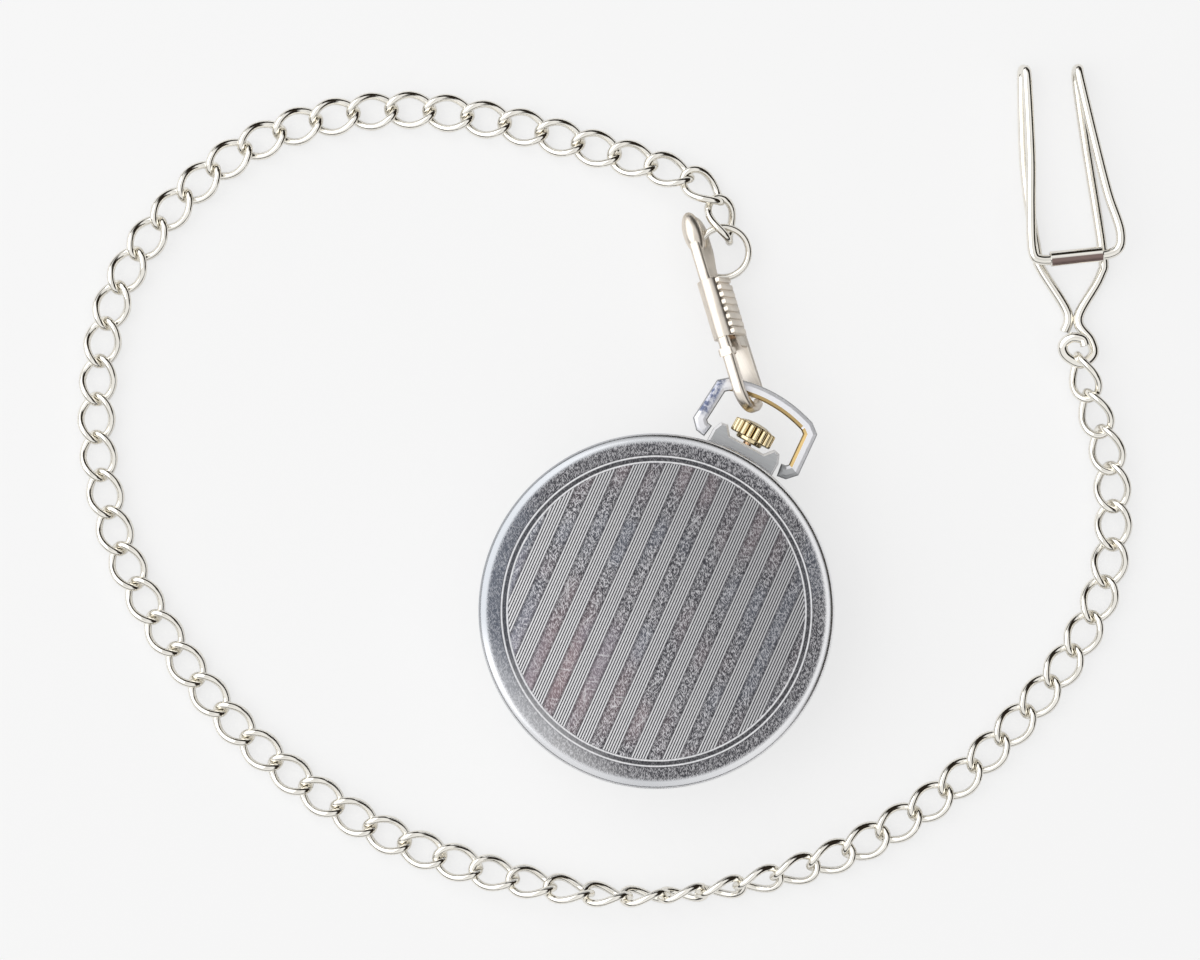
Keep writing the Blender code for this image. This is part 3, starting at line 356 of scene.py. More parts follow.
class Finish(Nodes):
    """A surface finish: one shader, and the nodes that vary it."""

    def __init__(self, name, colour, roughness, metallic=1.0):
        self.material = bpy.data.materials.new(name)
        self.material.use_nodes = True
        super().__init__(self.material.node_tree)
        self.shader = self.tree.nodes["Principled BSDF"]
        self.feed("Base Color", (*colour, 1))
        self.feed("Roughness", roughness)
        self.feed("Metallic", metallic)

    def feed(self, name, value):
        self.join(value, self.shader.inputs[name])

    def place(self):
        """Where a point is on the object, in millimetres."""
        point = self.node("ShaderNodeTexCoord", out="Object")
        scaled = self.node("ShaderNodeVectorMath", {"operation": "SCALE"}, {0: point, "Scale": 1 / MM})
        return [self.node("ShaderNodeSeparateXYZ", None, {0: scaled}, out) for out in range(3)]

    def noise(self, scale, turn=0.0, stretch=(1, 1, 1), detail=3.0):
        """Noise in millimetres, drawn out along one direction where stretch says so."""
        point = self.node("ShaderNodeTexCoord", out="Object")
        turned = self.node("ShaderNodeMapping", None, {0: point, "Rotation": (0, 0, turn)})
        drawn = self.node("ShaderNodeVectorMath", {"operation": "MULTIPLY"}, {
            0: turned, 1: tuple(s / MM for s in stretch),
        })
        return self.node("ShaderNodeTexNoise", None, {"Vector": drawn, "Scale": scale, "Detail": detail})

    def bump(self, height, distance, strength):
        return self.node("ShaderNodeBump", None, {
            "Height": height, "Distance": distance * MM, "Strength": strength,
        })


def scratches(finish, turns, scale):
    """Fine straight scratches in a few directions, as a value from 0 to 1."""
    total = 0.0
    for turn in turns:
        lines = finish.noise(scale, turn, SCRATCH_STRETCH, 2.0)
        total = finish.rise(lines, 0.62, 0.72) + total
    return finish.math("MINIMUM", total, 1.0)


def fibres(finish, turns):
    """Short rubbed marks in a few directions, as a value from 0 to 1."""
    total = 0.0
    for turn in turns:
        marks = finish.rise(finish.noise(1.0, turn, FIBRE_STRETCH, 1.0), 0.53, 0.70)
        total = finish.math("MAXIMUM", marks, total)
    return total


def towards(x, y, side):
    """How far a point lies from the middle towards one side."""
    return x * side[0] + y * side[1]


def stripes(finish, x, y, inside):
    """Bands of engraved lines: the bands, the lines in them, and the shade beside them."""
    across = towards(x, y, (cos(STRIPE_TURN), sin(STRIPE_TURN)))
    turn = finish.math("FRACT", (across - STRIPE_MIDDLE) / STRIPE_PERIOD + (WHOLE_PERIODS + 0.5)) - 0.5
    offset = finish.math("ABSOLUTE", turn) * STRIPE_PERIOD
    band = finish.fall(offset, *STRIPE_EDGE) * inside
    wave = 0.5 - finish.math("COSINE", turn * (STRIPE_PERIOD * tau / LINE_PITCH)) * 0.5
    lines = finish.rise(wave, *LINE_FLANK) * band
    shade = finish.fall(offset, *STRIPE_SHADE) * inside * (1 - band)
    return band, lines, shade


def ring_lines(finish, radius):
    """Two bright ring lines, and the dark grooves between and outside them."""
    rings = 0.0
    for ring in RING_LINES:
        rings = finish.fall(finish.math("ABSOLUTE", radius - ring), *RING_EDGE) + rings
    inner, outer = RING_LINES
    width = RING_EDGE[1]
    begun = finish.rise(radius, inner, inner + width)
    groove = begun * finish.fall(radius, outer + width, outer + 2 * width) * (1 - rings)
    return rings, groove


def rubbed_field(finish, x, y, inside, rubbed, marks):
    """Colour of the rubbed metal: rosy at one spot, bluish at random, and with a painted bluish reflection
    towards one side.
    """
    cloud = finish.noise(0.09, detail=1.0)
    from_spot = ((x - ROSE_SPOT[0]) ** 2 + (y - ROSE_SPOT[1]) ** 2) ** 0.5
    rose = finish.fall(from_spot, *ROSE_REACH) * 0.5 + finish.rise(cloud, 0.5, 0.7) * 0.3
    # painted reflection: bluish towards one side; the rest of the bluish tone is at random
    tone_and_reflection = finish.rise(towards(x, y, REFLECTION_SIDE), *REFLECTION_REACH) * 0.45 + finish.fall(cloud, 0.32, 0.48) * 0.2
    colour = finish.mix(rubbed, DARK_GREY, MIDDLE_GREY)
    colour = finish.mix(rose * inside, colour, ROSE_GREY)
    colour = finish.mix(tone_and_reflection, colour, BLUE_TONE_AND_REFLECTION)
    return finish.mix(marks * 0.5, colour, BRIGHT_GREY)


def striped_back():
    """Rubbed back with bands of engraved lines, two ring lines and small scratches, and painted light: a
    glint, shade across the field, a bluish reflection and a darker rim on one side.
    """
    finish = Finish("engraved_back", (0.55, 0.55, 0.57), 0.34)
    x, y, _ = finish.place()
    radius = (x * x + y * y) ** 0.5
    inside = finish.fall(radius, *FIELD_EDGE)
    flat = finish.fall(radius, *FLAT_EDGE)
    band, lines, shade = stripes(finish, x, y, inside)
    rings, groove = ring_lines(finish, radius)
    marks = scratches(finish, BACK_SCRATCHES, 0.6)
    rubbed = fibres(finish, BACK_FIBRES)
    # painted highlight: a glint outside the field and on the rim, towards one edge
    glint = finish.rise(towards(x, y, GLINT_SIDE), *GLINT_REACH) * (1 - inside)
    # painted light: the field lighter towards the lit side, darker away from it
    painted_light_slope = finish.rise(towards(x, y, LIGHT_SIDE), *ACROSS_CASE)
    # painted shade: the rim darker towards one side
    painted_rim_shade = finish.rise(towards(x, y, REFLECTION_SIDE), *ACROSS_CASE)
    field = finish.mix(shade * 0.6, rubbed_field(finish, x, y, inside, rubbed, marks), CUT_AND_SHADE_GREY)
    colour = finish.mix(band, field, finish.mix(lines, CUT_AND_SHADE_GREY, BRIGHT_GREY))
    colour = finish.mix(groove * 0.7, colour, CUT_AND_SHADE_GREY)
    # painted shade on the field away from the lit side; outside the field the metal is darkened evenly
    colour = finish.mix((1 - painted_light_slope) * 0.42 * inside + (1 - inside) * 0.42, colour, CUT_AND_SHADE_GREY)
    colour = finish.mix(glint * 0.4, colour, BRIGHT_GREY)
    colour = finish.mix(rings * 0.8, colour, BRIGHT_GREY)
    # rim colour: painted shade on one side, under the painted glint
    rim = finish.mix(glint * 0.65, finish.mix(painted_rim_shade, RIM_LIGHT, RIM_PAINTED_SHADE), BRIGHT_GREY)
    finish.feed("Base Color", finish.mix(flat, rim, colour))
    rough = rubbed * 0.14 + 0.28 - band * 0.04
    finish.feed("Roughness", rough * flat + 0.24 * (1 - flat))
    height = lines * 0.5 + rings * 0.6 - groove * 0.5 + marks * 0.3 + rubbed * (1 - band) * 0.5
    finish.feed("Normal", finish.bump(height * flat, 0.02, 0.6))
    return finish.material


def polished(name, colour, roughness, turns=(0.4, 1.9), wear=0.82):
    """Polished metal with hairline wear and a little unevenness."""
    finish = Finish(name, colour, roughness)
    marks = scratches(finish, turns, 0.8)
    cloud = finish.noise(0.35, detail=2.0)
    dull = [c * wear for c in colour]
    finish.feed("Base Color", finish.mix(finish.rise(cloud, 0.45, 0.75), colour, dull))
    finish.feed("Roughness", cloud * 0.08 + marks * 0.10 + (roughness - 0.03))
    finish.feed("Normal", finish.bump(cloud * 0.5 + marks * 0.2, 0.01, 0.35))
    return finish.material


def satin(name, colour, roughness, turn=0.0):
    """Metal drawn or brushed one way."""
    finish = Finish(name, colour, roughness)
    grain = finish.noise(1.0, turn, BRUSH_STRETCH)
    dull = [c * 0.72 for c in colour]
    finish.feed("Base Color", finish.mix(grain, dull, colour))
    finish.feed("Roughness", grain * 0.16 + (roughness - 0.06))
    finish.feed("Normal", finish.bump(grain, 0.008, 0.4))
    return finish.material


def bow_steel():
    """Bright steel of the bow, soft on its flats, with a dark bluish patch on one leg."""
    finish = Finish("bow_steel", BOW_WHITE, 0.5)
    x, y, _ = finish.place()
    speck = finish.rise(finish.noise(2.2), 0.35, 0.62)
    leg = finish.fall(x, *BLUE_LEG_X) * finish.rise(y, *BLUE_LEG_Y)
    finish.feed("Base Color", finish.mix((speck * 0.6 + 0.35) * leg, BOW_WHITE, BOW_BLUE))
    finish.feed("Roughness", speck * 0.1 + 0.44)
    finish.feed("Normal", finish.bump(speck, 0.01, 0.2))
    return finish.material


def fluted_gilt():
    """Gilt brass, with painted shade in the grooves between the crown's flutes."""
    finish = Finish("gilt_crown_brass", CROWN_GILT, 0.14)
    x, _, z = finish.place()
    turn = finish.math("ARCTAN2", z - STEM_HEIGHT, x)
    flute = finish.math("ABSOLUTE", finish.math("COSINE", turn * (CROWN_FLUTES / 2)))
    radius = (x * x + (z - STEM_HEIGHT) ** 2) ** 0.5
    # painted shade: darker between the flutes near the rim
    groove = finish.fall(flute, 0.12, 0.55) * finish.rise(radius, CROWN_RADIUS - 0.8, CROWN_RADIUS - 0.5)
    finish.feed("Base Color", finish.mix(groove, CROWN_GILT, GROOVE_SHADE_BROWN))
    finish.feed("Roughness", finish.noise(1.5) * 0.1 + groove * 0.2 + 0.08)
    return finish.material


def bright_bevel():
    """Bevel painted near white as a highlight, so that it shows white from every side."""
    finish = Finish("bright_bevel", (0.95, 0.95, 0.96), 0.4, 0.2)
    finish.feed("Roughness", finish.noise(2.0) * 0.2 + 0.3)
    return finish.material


def silvered():
    """Finely grained silvered dial paint."""
    finish = Finish("silvered_dial_paint", (0.86, 0.85, 0.80), 0.42, 0.25)
    grain = finish.noise(3.0, detail=4.0)
    finish.feed("Base Color", finish.mix(grain, DIAL_SHADE, DIAL_LIGHT))
    finish.feed("Roughness", grain * 0.15 + 0.36)
    return finish.material


def printed():
    """Black dial print."""
    finish = Finish("dial_print", (0.02, 0.02, 0.022), 0.4, 0.0)
    finish.feed("Roughness", finish.noise(4.0) * 0.2 + 0.35)
    return finish.material


def clear_glass():
    """Clear crystal."""
    finish = Finish("clear_crystal", (0.97, 0.985, 0.99), 0.02, 0.0)
    finish.feed("Transmission Weight", 1.0)
    finish.feed("IOR", 1.5)
    return finish.material


BACK = striped_back()
BOW_STEEL = bow_steel()
STEEL = polished("polished_case_steel", (0.80, 0.81, 0.83), 0.12, wear=0.94)
PENDANT_STEEL = satin("satin_pendant_steel", (0.56, 0.57, 0.58), 0.42)
NICKEL = polished("warm_nickel_silver", (0.96, 0.93, 0.86), 0.03, (0.7, 2.2), 0.94)
CAST_NICKEL = polished("cast_warm_nickel", (0.86, 0.79, 0.70), 0.29, (0.2, 1.1, 2.4))
GATE_NICKEL = satin("satin_gate_nickel", (0.92, 0.86, 0.78), 0.38, 0.6)
# painted shade: bronze on the clasp spring stands in for the warm shade inside the sleeve
PAINTED_SHADE_BRONZE = polished("bronze_painted_shade", (0.70, 0.46, 0.28), 0.25)
GILT = fluted_gilt()
BEVEL_HIGHLIGHT = bright_bevel()
SEAM = satin("rolled_seam", (0.30, 0.22, 0.20), 0.4)
INNER_GILT = satin("gilt_inner_face", (0.60, 0.43, 0.19), 0.3)
PLATE_GILT = satin("gilt_movement_plate", (0.83, 0.66, 0.34), 0.33)
BLUED = polished("blued_steel", (0.03, 0.05, 0.16), 0.2)
DIAL_PAINT = silvered()
PRINT = printed()
GLASS = clear_glass()


def clear_selection():
    if bpy.context.object and bpy.context.object.mode != "OBJECT":
        bpy.ops.object.mode_set(mode="OBJECT")
    bpy.ops.object.select_all(action="DESELECT")


def settle(piece, name, body, finishes, nodes=(), angle=35):
    """Name a finished piece, bake its place into its mesh, shade it and let it ride on its body."""
    clear_selection()
    piece.select_set(True)
    bpy.context.view_layer.objects.active = piece
    bpy.ops.object.transform_apply(location=True, rotation=True, scale=True)
    piece.name = piece.data.name = name
    bpy.ops.object.shade_smooth_by_angle(angle=radians(angle))
    piece.data.materials.clear()
    for finish in finishes if isinstance(finishes, list) else [finishes]:
        piece.data.materials.append(finish)
    if nodes:
        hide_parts(*nodes)
    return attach(piece, body)


def lathe(profile, steps=ROUND, ring=False):
    """Turn a profile of (radius, height) about Z: a circle, extruded and scaled from point to point."""
    clear_selection()
    (radius, height), *rest = profile
    bpy.ops.mesh.primitive_circle_add(vertices=steps, radius=radius * MM, location=(0, 0, height * MM))
    piece = bpy.context.object
    bpy.ops.object.transform_apply(location=True)
    bpy.ops.object.mode_set(mode="EDIT")
    bpy.ops.mesh.select_all(action="SELECT")
    for next_radius, next_height in rest + ([profile[0]] if ring else []):
        bpy.ops.mesh.extrude_region_move()
        bpy.ops.transform.translate(value=(0, 0, (next_height - height) * MM))
        factor = next_radius / radius
        bpy.ops.transform.resize(value=(factor, factor, 1), center_override=(0, 0, next_height * MM))
        radius, height = next_radius, next_height
    bpy.ops.mesh.select_all(action="SELECT")
    bpy.ops.mesh.remove_doubles(threshold=1e-7)
    if not ring:
        bpy.ops.mesh.select_all(action="DESELECT")
        bpy.ops.mesh.select_non_manifold()
        bpy.ops.mesh.fill_holes(sides=0)
        bpy.ops.mesh.select_all(action="SELECT")
    bpy.ops.mesh.normals_make_consistent(inside=False)
    bpy.ops.object.mode_set(mode="OBJECT")
    return piece


def arc(radius, start, end, count, middle=(0, 0)):
    """Points on an arc between two angles in degrees."""
    angles = [radians(start + (end - start) * i / count) for i in range(count + 1)]
    return [(middle[0] + radius * cos(a), middle[1] + radius * sin(a)) for a in angles]


def circle(radius, count=32, middle=(0, 0)):
    return arc(radius, 0, 360, count, middle)[:-1]


def made_mesh(curve, place=Matrix()):
    """A curve object turned into a welded mesh at a place."""
    clear_selection()
    shape = bpy.data.objects.new("shape", curve)
    bpy.context.collection.objects.link(shape)
    shape.select_set(True)
    bpy.context.view_layer.objects.active = shape
    bpy.ops.object.convert(target="MESH")
    shape.matrix_world = place
    bpy.ops.object.mode_set(mode="EDIT")
    bpy.ops.mesh.select_all(action="SELECT")
    bpy.ops.mesh.remove_doubles(threshold=1e-7)
    bpy.ops.mesh.normals_make_consistent(inside=False)
    bpy.ops.object.mode_set(mode="OBJECT")
    return shape


def add_spline(curve, points, cyclic):
    """A straight-sided spline through points in metres."""
    spline = curve.splines.new("POLY")
    spline.points.add(len(points) - 1)
    spline.use_cyclic_u = cyclic
    for point, place in zip(spline.points, points):
        point.co = (*place, 1)


def plate(loops, low, high, round_edge=0.0, place=Matrix(), resolution=3):
    """Flat outlines in millimetres, extruded between two heights, with rounded edges kept inside them."""
    curve = bpy.data.curves.new("plate", "CURVE")
    curve.dimensions = "2D"
    curve.fill_mode = "BOTH"
    curve.extrude = ((high - low) / 2 - round_edge) * MM
    curve.bevel_depth = round_edge * MM
    curve.bevel_resolution = resolution
    curve.offset = -round_edge * MM
    for loop in loops:
        add_spline(curve, [(x * MM, y * MM, 0) for x, y in loop], True)
    return made_mesh(curve, place @ Matrix.Translation((0, 0, (low + high) / 2 * MM)))


def rod(paths, radius, cyclic=False, resolution=4):
    """Round wire along one or more paths in metres."""
    curve = bpy.data.curves.new("rod", "CURVE")
    curve.dimensions = "3D"
    curve.bevel_depth = radius * MM
    curve.bevel_resolution = resolution
    curve.use_fill_caps = not cyclic
    for path in paths:
        add_spline(curve, path, cyclic)
    return made_mesh(curve)


def smooth_route(points, count):
    """A dense smooth curve through given points."""
    knots = [Vector((*p, 0)) if len(p) == 2 else Vector(p) for p in points]
    dense = []
    for i in range(len(knots) - 1):
        before, after = knots[max(i - 1, 0)], knots[min(i + 2, len(knots) - 1)]
        first = knots[i] + (knots[i + 1] - before) / 6
        second = knots[i + 1] - (after - knots[i]) / 6
        dense += interpolate_bezier(knots[i], first, second, knots[i + 1], count)[:-1]
    return dense + [knots[-1]]


def merge(pieces):
    """Join pieces into the first."""
    clear_selection()
    for piece in pieces:
        piece.select_set(True)
    bpy.context.view_layer.objects.active = pieces[0]
    bpy.ops.object.join()
    return pieces[0]


def camera():
    """Straight down on the table, as far off as a short telephoto lens stands."""
    bpy.ops.object.camera_add()
    eye = bpy.context.object
    eye.location = TABLE @ Vector([c * MM for c in CAMERA_PLACE])
    eye.rotation_euler = (0, 0, TABLE_TURN)
    eye.data.lens = CAMERA_LENS
    eye.data.sensor_width = SENSOR_WIDTH
    eye.data.clip_start = NEAREST_SEEN
    bpy.context.scene.camera = eye


def table_top():
    """Pale floor under the watch, which glows to the camera so that shadows stay faint."""
    finish = Finish("pale_table", (0.93, 0.93, 0.93), 0.6, 0.0)
    mottle = finish.noise(0.02, detail=2.0)
    finish.feed("Base Color", finish.mix(mottle, FLOOR_SHADE, FLOOR_LIGHT))
    glow = finish.node("ShaderNodeEmission", None, {"Color": (*FLOOR_SEEN, 1)})
    seen = finish.node("ShaderNodeLightPath", out="Is Camera Ray")
    both = finish.node("ShaderNodeMixShader", None, {
        0: seen * FLOOR_GLOW, 1: Value(finish, finish.shader.outputs[0]), 2: glow,
    })
    finish.join(both, finish.tree.nodes["Material Output"].inputs["Surface"])
    clear_selection()
    bpy.ops.mesh.primitive_plane_add(size=FLOOR_SIZE, location=(0, 0, -FLOOR_GAP))
    floor = bpy.context.object
    floor.name = "table_top"
    floor.data.materials.append(finish.material)


def surroundings():
    """White light tent with a dark foot, open on the photo's right up to about two thirds of its height."""
    world = bpy.context.scene.world or bpy.data.worlds.new("tent")
    bpy.context.scene.world = world
    world.use_nodes = True
    world.node_tree.nodes.clear()
    tent = Nodes(world.node_tree)
    toward = tent.node("ShaderNodeTexCoord", out="Generated")
    height = tent.node("ShaderNodeSeparateXYZ", None, {0: toward}, 2)
    wall = tent.node("ShaderNodeValToRGB", {"stops": TENT_STOPS}, {0: height})
    sideways = tent.node("ShaderNodeVectorMath", {"operation": "DOT_PRODUCT"}, {
        0: toward, 1: TABLE @ Vector(OPEN_SIDE),
    }, "Value")
    gap = tent.rise(sideways, *OPEN_FROM) * tent.fall(height, *OPEN_UP_TO)
    light = tent.node("ShaderNodeBackground", None, {
        "Color": tent.mix(gap, wall, OPEN_LEVEL), "Strength": TENT_STRENGTH,
    })
    tent.node("ShaderNodeOutputWorld", None, {"Surface": light})


def lamp(name, place, size, watts):
    """A soft panel aimed at the middle of the case."""
    bpy.ops.object.light_add(type="AREA", location=place)
    light = bpy.context.object
    light.name = name
    light.data.size = size
    light.data.energy = watts
    light.rotation_euler = (-place).to_track_quat("-Z", "Y").to_euler()


def back_cover():
    """Snap-on back: flat, with a low shoulder and a tighter turn at the rim."""
    low = BACK_SEAM + FIT
    floor = THICKNESS - BACK_WALL
    shoulder = arc(SHOULDER_RADIUS, 90, SHOULDER_END, 8, (BACK_ROUNDED_FROM, THICKNESS - SHOULDER_RADIUS))
    edge_x, edge_z = shoulder[-1]
    turn = radians(SHOULDER_END)
    edge = (CASE_RADIUS - edge_x) / (1 - cos(turn))
    rim = arc(edge, SHOULDER_END, 0, 12, (CASE_RADIUS - edge, edge_z - edge * sin(turn)))[1:]
    skirt = [(CASE_RADIUS - 0.1, low + 0.12), (CASE_RADIUS - 0.25, low), (CASE_RADIUS - 1.2, low)]
    inside = [(CASE_RADIUS - 1.4, THICKNESS - (CASE_RADIUS - BACK_FLAT_RADIUS))]
    inside += [(BACK_FLAT_RADIUS - 0.9, floor), (HUB, floor)]
    back = lathe([(radius, THICKNESS) for radius in BACK_STEPS] + shoulder + rim + skirt + inside)
    settle(back, "back_cover", "case", BACK, ["case_back"])


def middle_ring():
    """Straight band between the two seams, rounded towards each."""
    side = CASE_RADIUS - BAND_INSET
    floor = BEZEL_SEAM + FIT
    band = [(side - inset, BACK_SEAM - step) for inset, step in SEAM_ROUND]
    band += [(side - inset, floor + step) for inset, step in reversed(SEAM_ROUND)]
    band += [(BAND_SEAT, floor), (BAND_SEAT, 4.3), (BAND_INSIDE, 5.1), (BAND_INSIDE, BACK_SEAM)]
    settle(lathe(band, ring=True), "middle_ring", "case", STEEL, ["case_band"])


def front_ring():
    """Rounded bezel with a groove for the crystal."""
    lip, groove = CRYSTAL_RADIUS - 0.1, CRYSTAL_RADIUS + 0.1
    front = [(CASE_RADIUS - 0.6, BEZEL_SEAM)] + arc(BEZEL_ROUND, 15, -70, 14, BEZEL_ROUND_MIDDLE)
    front += [(lip, 0.95), (lip, 1.5), (groove, 1.6), (groove, BEZEL_SEAM)]
    settle(lathe(front, ring=True), "front_ring", "case", STEEL, ["bezel"])


def pendant_block():
    """Flat steel block with an eight-sided bay, its edges bevelled and the bevels painted near white as a
    highlight.
    """
    outline = PENDANT_SIDE + [(-x, y) for x, y in reversed(PENDANT_SIDE)]
    outline += arc(CASE_RADIUS - 0.02, 78, 102, 16)
    low, high = STEM_HEIGHT - PENDANT_HALF_HEIGHT, STEM_HEIGHT + PENDANT_HALF_HEIGHT
    block = plate([outline], low, high, PENDANT_BEVEL, resolution=0)
    settle(block, "pendant_block", "case", [PENDANT_STEEL, BEVEL_HIGHLIGHT], ["pendant"], 20)
    # the bevels take the painted highlight
    for face in block.data.polygons:
        if 0.2 < face.normal.z < 0.95:
            face.material_index = 1


def strip_outline(path, width):
    """The outline of a strip of even width along a path, with mitred corners."""
    side, other = [], []
    for i, point in enumerate(path):
        before, after = path[max(i - 1, 0)], path[min(i + 1, len(path) - 1)]
        come, leave = Vector(point) - Vector(before), Vector(after) - Vector(point)
        run = (come.normalized() + leave.normalized()).normalized()
        mitre = run.dot(leave.normalized() if i == 0 else come.normalized())
        across = Vector((-run.y, run.x)) * width / 2 / mitre
        side.append(tuple(Vector(point) + across))
        other.append(tuple(Vector(point) - across))
    return side + other[::-1]


def bow_top(x):
    """How far up the bow's arched top lies."""
    return BOW_TOP_Y - BOW_ARCH * x**2


def bow_strip():
    """Faceted stirrup with a gilt-coloured inner face."""
    top = [(x / 10, bow_top(x / 10)) for x in BOW_TOP_TENTHS]
    path = [(-x, y) for x, y in BOW_LEG] + top + BOW_LEG[::-1]
    low, high = STEM_HEIGHT - BOW_THICKNESS / 2, STEM_HEIGHT + BOW_THICKNESS / 2
    stirrup = plate([strip_outline(path, BOW_WIDTH)], low, high, BOW_BEVEL, resolution=1)
    finishes = [PENDANT_STEEL, INNER_GILT, BOW_STEEL]
    settle(stirrup, "bow_stirrup", "chain", finishes, ["bow"], 15)
    middle = Vector((0, BOW_MIDDLE_Y, STEM_HEIGHT)) * MM
    for face in stirrup.data.polygons:
        x, y = face.center.xy / MM
        inward = (middle - face.center).normalized()
        inner = face.normal.dot(inward) > 0.2 and face.normal.z < 0.95
        if inner and x > GILT_INNER_FROM[0] and y > GILT_INNER_FROM[1]:
            face.material_index = 1
        elif abs(face.normal.z) < 0.6 or (x > 0 and y < BOW_FOOT_Y):
            face.material_index = 0
        else:
            face.material_index = 2


def crown_knob():
    """Gilt knob with rounded flutes, a low dome and a collar."""
    flutes = []
    count = CROWN_FLUTES * FLUTE_POINTS
    for i in range(count):
        angle = tau * i / count
        wave = abs(cos(angle * CROWN_FLUTES / 2))
        radius = CROWN_RADIUS - FLUTE_DEPTH * (1 - wave) ** 1.5
        flutes.append((radius * cos(angle), radius * sin(angle)))
    stand = Matrix.Translation((0, 0, STEM_HEIGHT * MM)) @ Matrix.Rotation(-pi / 2, 4, "X")
    pieces = [plate([flutes], FLUTED_FROM, FLUTED_TO, 0.2, stand)]
    for profile in (CROWN_DOME, CROWN_COLLAR):
        pieces.append(lathe(profile, CROWN_ROUND))
        pieces[-1].matrix_world = stand
    settle(merge(pieces), "crown_knob", "crown", GILT, ["crown"])


def bow_bar():
    """Where the clasp's hook holds the bow."""
    return Vector((BAR_X, bow_top(BAR_X), STEM_HEIGHT))


def clasp_matrix():
    """The clasp's plane, hooked on the bow's bar."""
    flat = (Vector(CLASP_HOOK_END) - Vector(CLASP_EYE_END)).normalized()
    along = Vector((flat.x, flat.y, CLASP_RISE)).normalized()
    side = Vector((-flat.y, flat.x, 0))
    across = side * cos(CLASP_TILT) - Vector((0, 0, sin(CLASP_TILT)))
    across = (across - along * across.dot(along)).normalized()
    turn = TABLE @ Matrix((along, across, along.cross(across))).transposed().to_4x4()
    return Matrix.Translation((bow_bar() - turn.to_3x3() @ Vector((*BAR_IN_HOOK, 0))) * MM) @ turn


CLASP = clasp_matrix()


def clasp_plate(outlines, half_width, round_edge, resolution=3):
    """A plate in the clasp's plane, as wide on both sides of it."""
    return plate(outlines, -half_width, half_width, round_edge, CLASP, resolution)


def clasp_sleeve():
    """Ribbed grip: an arch with a smooth back over the strip, and rounded ribs across both its cheeks."""
    endways = CLASP @ Matrix(((0, 0, 1, 0), (1, 0, 0, 0), (0, 1, 0, 0), (0, 0, 0, 1)))
    end = SLEEVE_START + (SLEEVE_RIBS - 0.1) * RIB_PITCH
    section = [(SLEEVE_DEPTH, SLEEVE_OUTSIDE)] + arc(SLEEVE_OUTSIDE, 90, 270, 20, SLEEVE_MIDDLE)
    section += [(SLEEVE_DEPTH, -SLEEVE_OUTSIDE), (SLEEVE_DEPTH, -SLEEVE_INSIDE)]
    section += arc(SLEEVE_INSIDE, 270, 90, 16, SLEEVE_MIDDLE) + [(SLEEVE_DEPTH, SLEEVE_INSIDE)]
    bands = [plate([section], SLEEVE_START, end, 0.06, endways)]
    for i in range(SLEEVE_RIBS):
        low = SLEEVE_START + i * RIB_PITCH
        for side, top in RIB_TOPS:
            outer = side * (SLEEVE_OUTSIDE + RIB_SWELL)
            inner = outer - side * RIB_THICKNESS
            rib = [(top, inner), (top, outer), (SLEEVE_DEPTH, outer), (SLEEVE_DEPTH, inner)]
            bands.append(plate([rib], low + RIB_FROM, low + RIB_TO, RIB_ROUND, endways))
    return bands


def clasp_web():
    """Thin middle of the casting, with the eye, the ear and the hook."""
    outline = arc(2.5, 90, 270, 16, (2.5, 2.5)) + [(HOOK_START, 0)] + arc(3.5, -90, 52, 18, HOOK_OUTSIDE)
    outline += [(HOOK_MIDDLE + 1.55, 5.75)] + arc(2.5, 45, -85, 16, HOOK_INSIDE)
    outline += [(HOOK_START, STRIP), (12.8, STRIP)] + EAR
    return clasp_plate([outline, circle(EYE_RADIUS, 24, EYE_PLACE)], EAR_HALF_WIDTH, 0.3)


def clasp_strip():
    """Wider, well rounded strip from the eye round the hook."""
    outline = arc(1.2, 200, 270, 6, (1.6, 1.1)) + arc(3.6, -90, 46, 16, HOOK_OUTSIDE)
    outline += arc(2.4, 40, -85, 16, HOOK_INSIDE) + [(HOOK_START, STRIP + 0.1), (1.4, STRIP - 0.1)]
    return clasp_plate([outline], HOOK_HALF_WIDTH, 0.5, 5)


def clasp_bulb():
    """Swelling of the casting beside the eye."""
    bpy.ops.mesh.primitive_uv_sphere_add(segments=40, ring_count=20, radius=MM)
    bulb = bpy.context.object
    stand = CLASP @ Matrix.Translation(Vector(BULB_PLACE) * MM)
    bulb.matrix_world = stand @ Matrix.Diagonal((*BULB_RADII, 1))
    return bulb


def clasp_body():
    """Cast strip with eye, grip, ear, collar and hook, all its edges rounded."""
    pieces = [clasp_web(), clasp_strip(), clasp_plate([COLLAR], COLLAR_HALF_WIDTH, 0.4, 5), clasp_bulb()]
    body = merge(pieces + clasp_sleeve())
    return settle(body, "clasp_body", "chain", CAST_NICKEL, ["clasp_hook"])


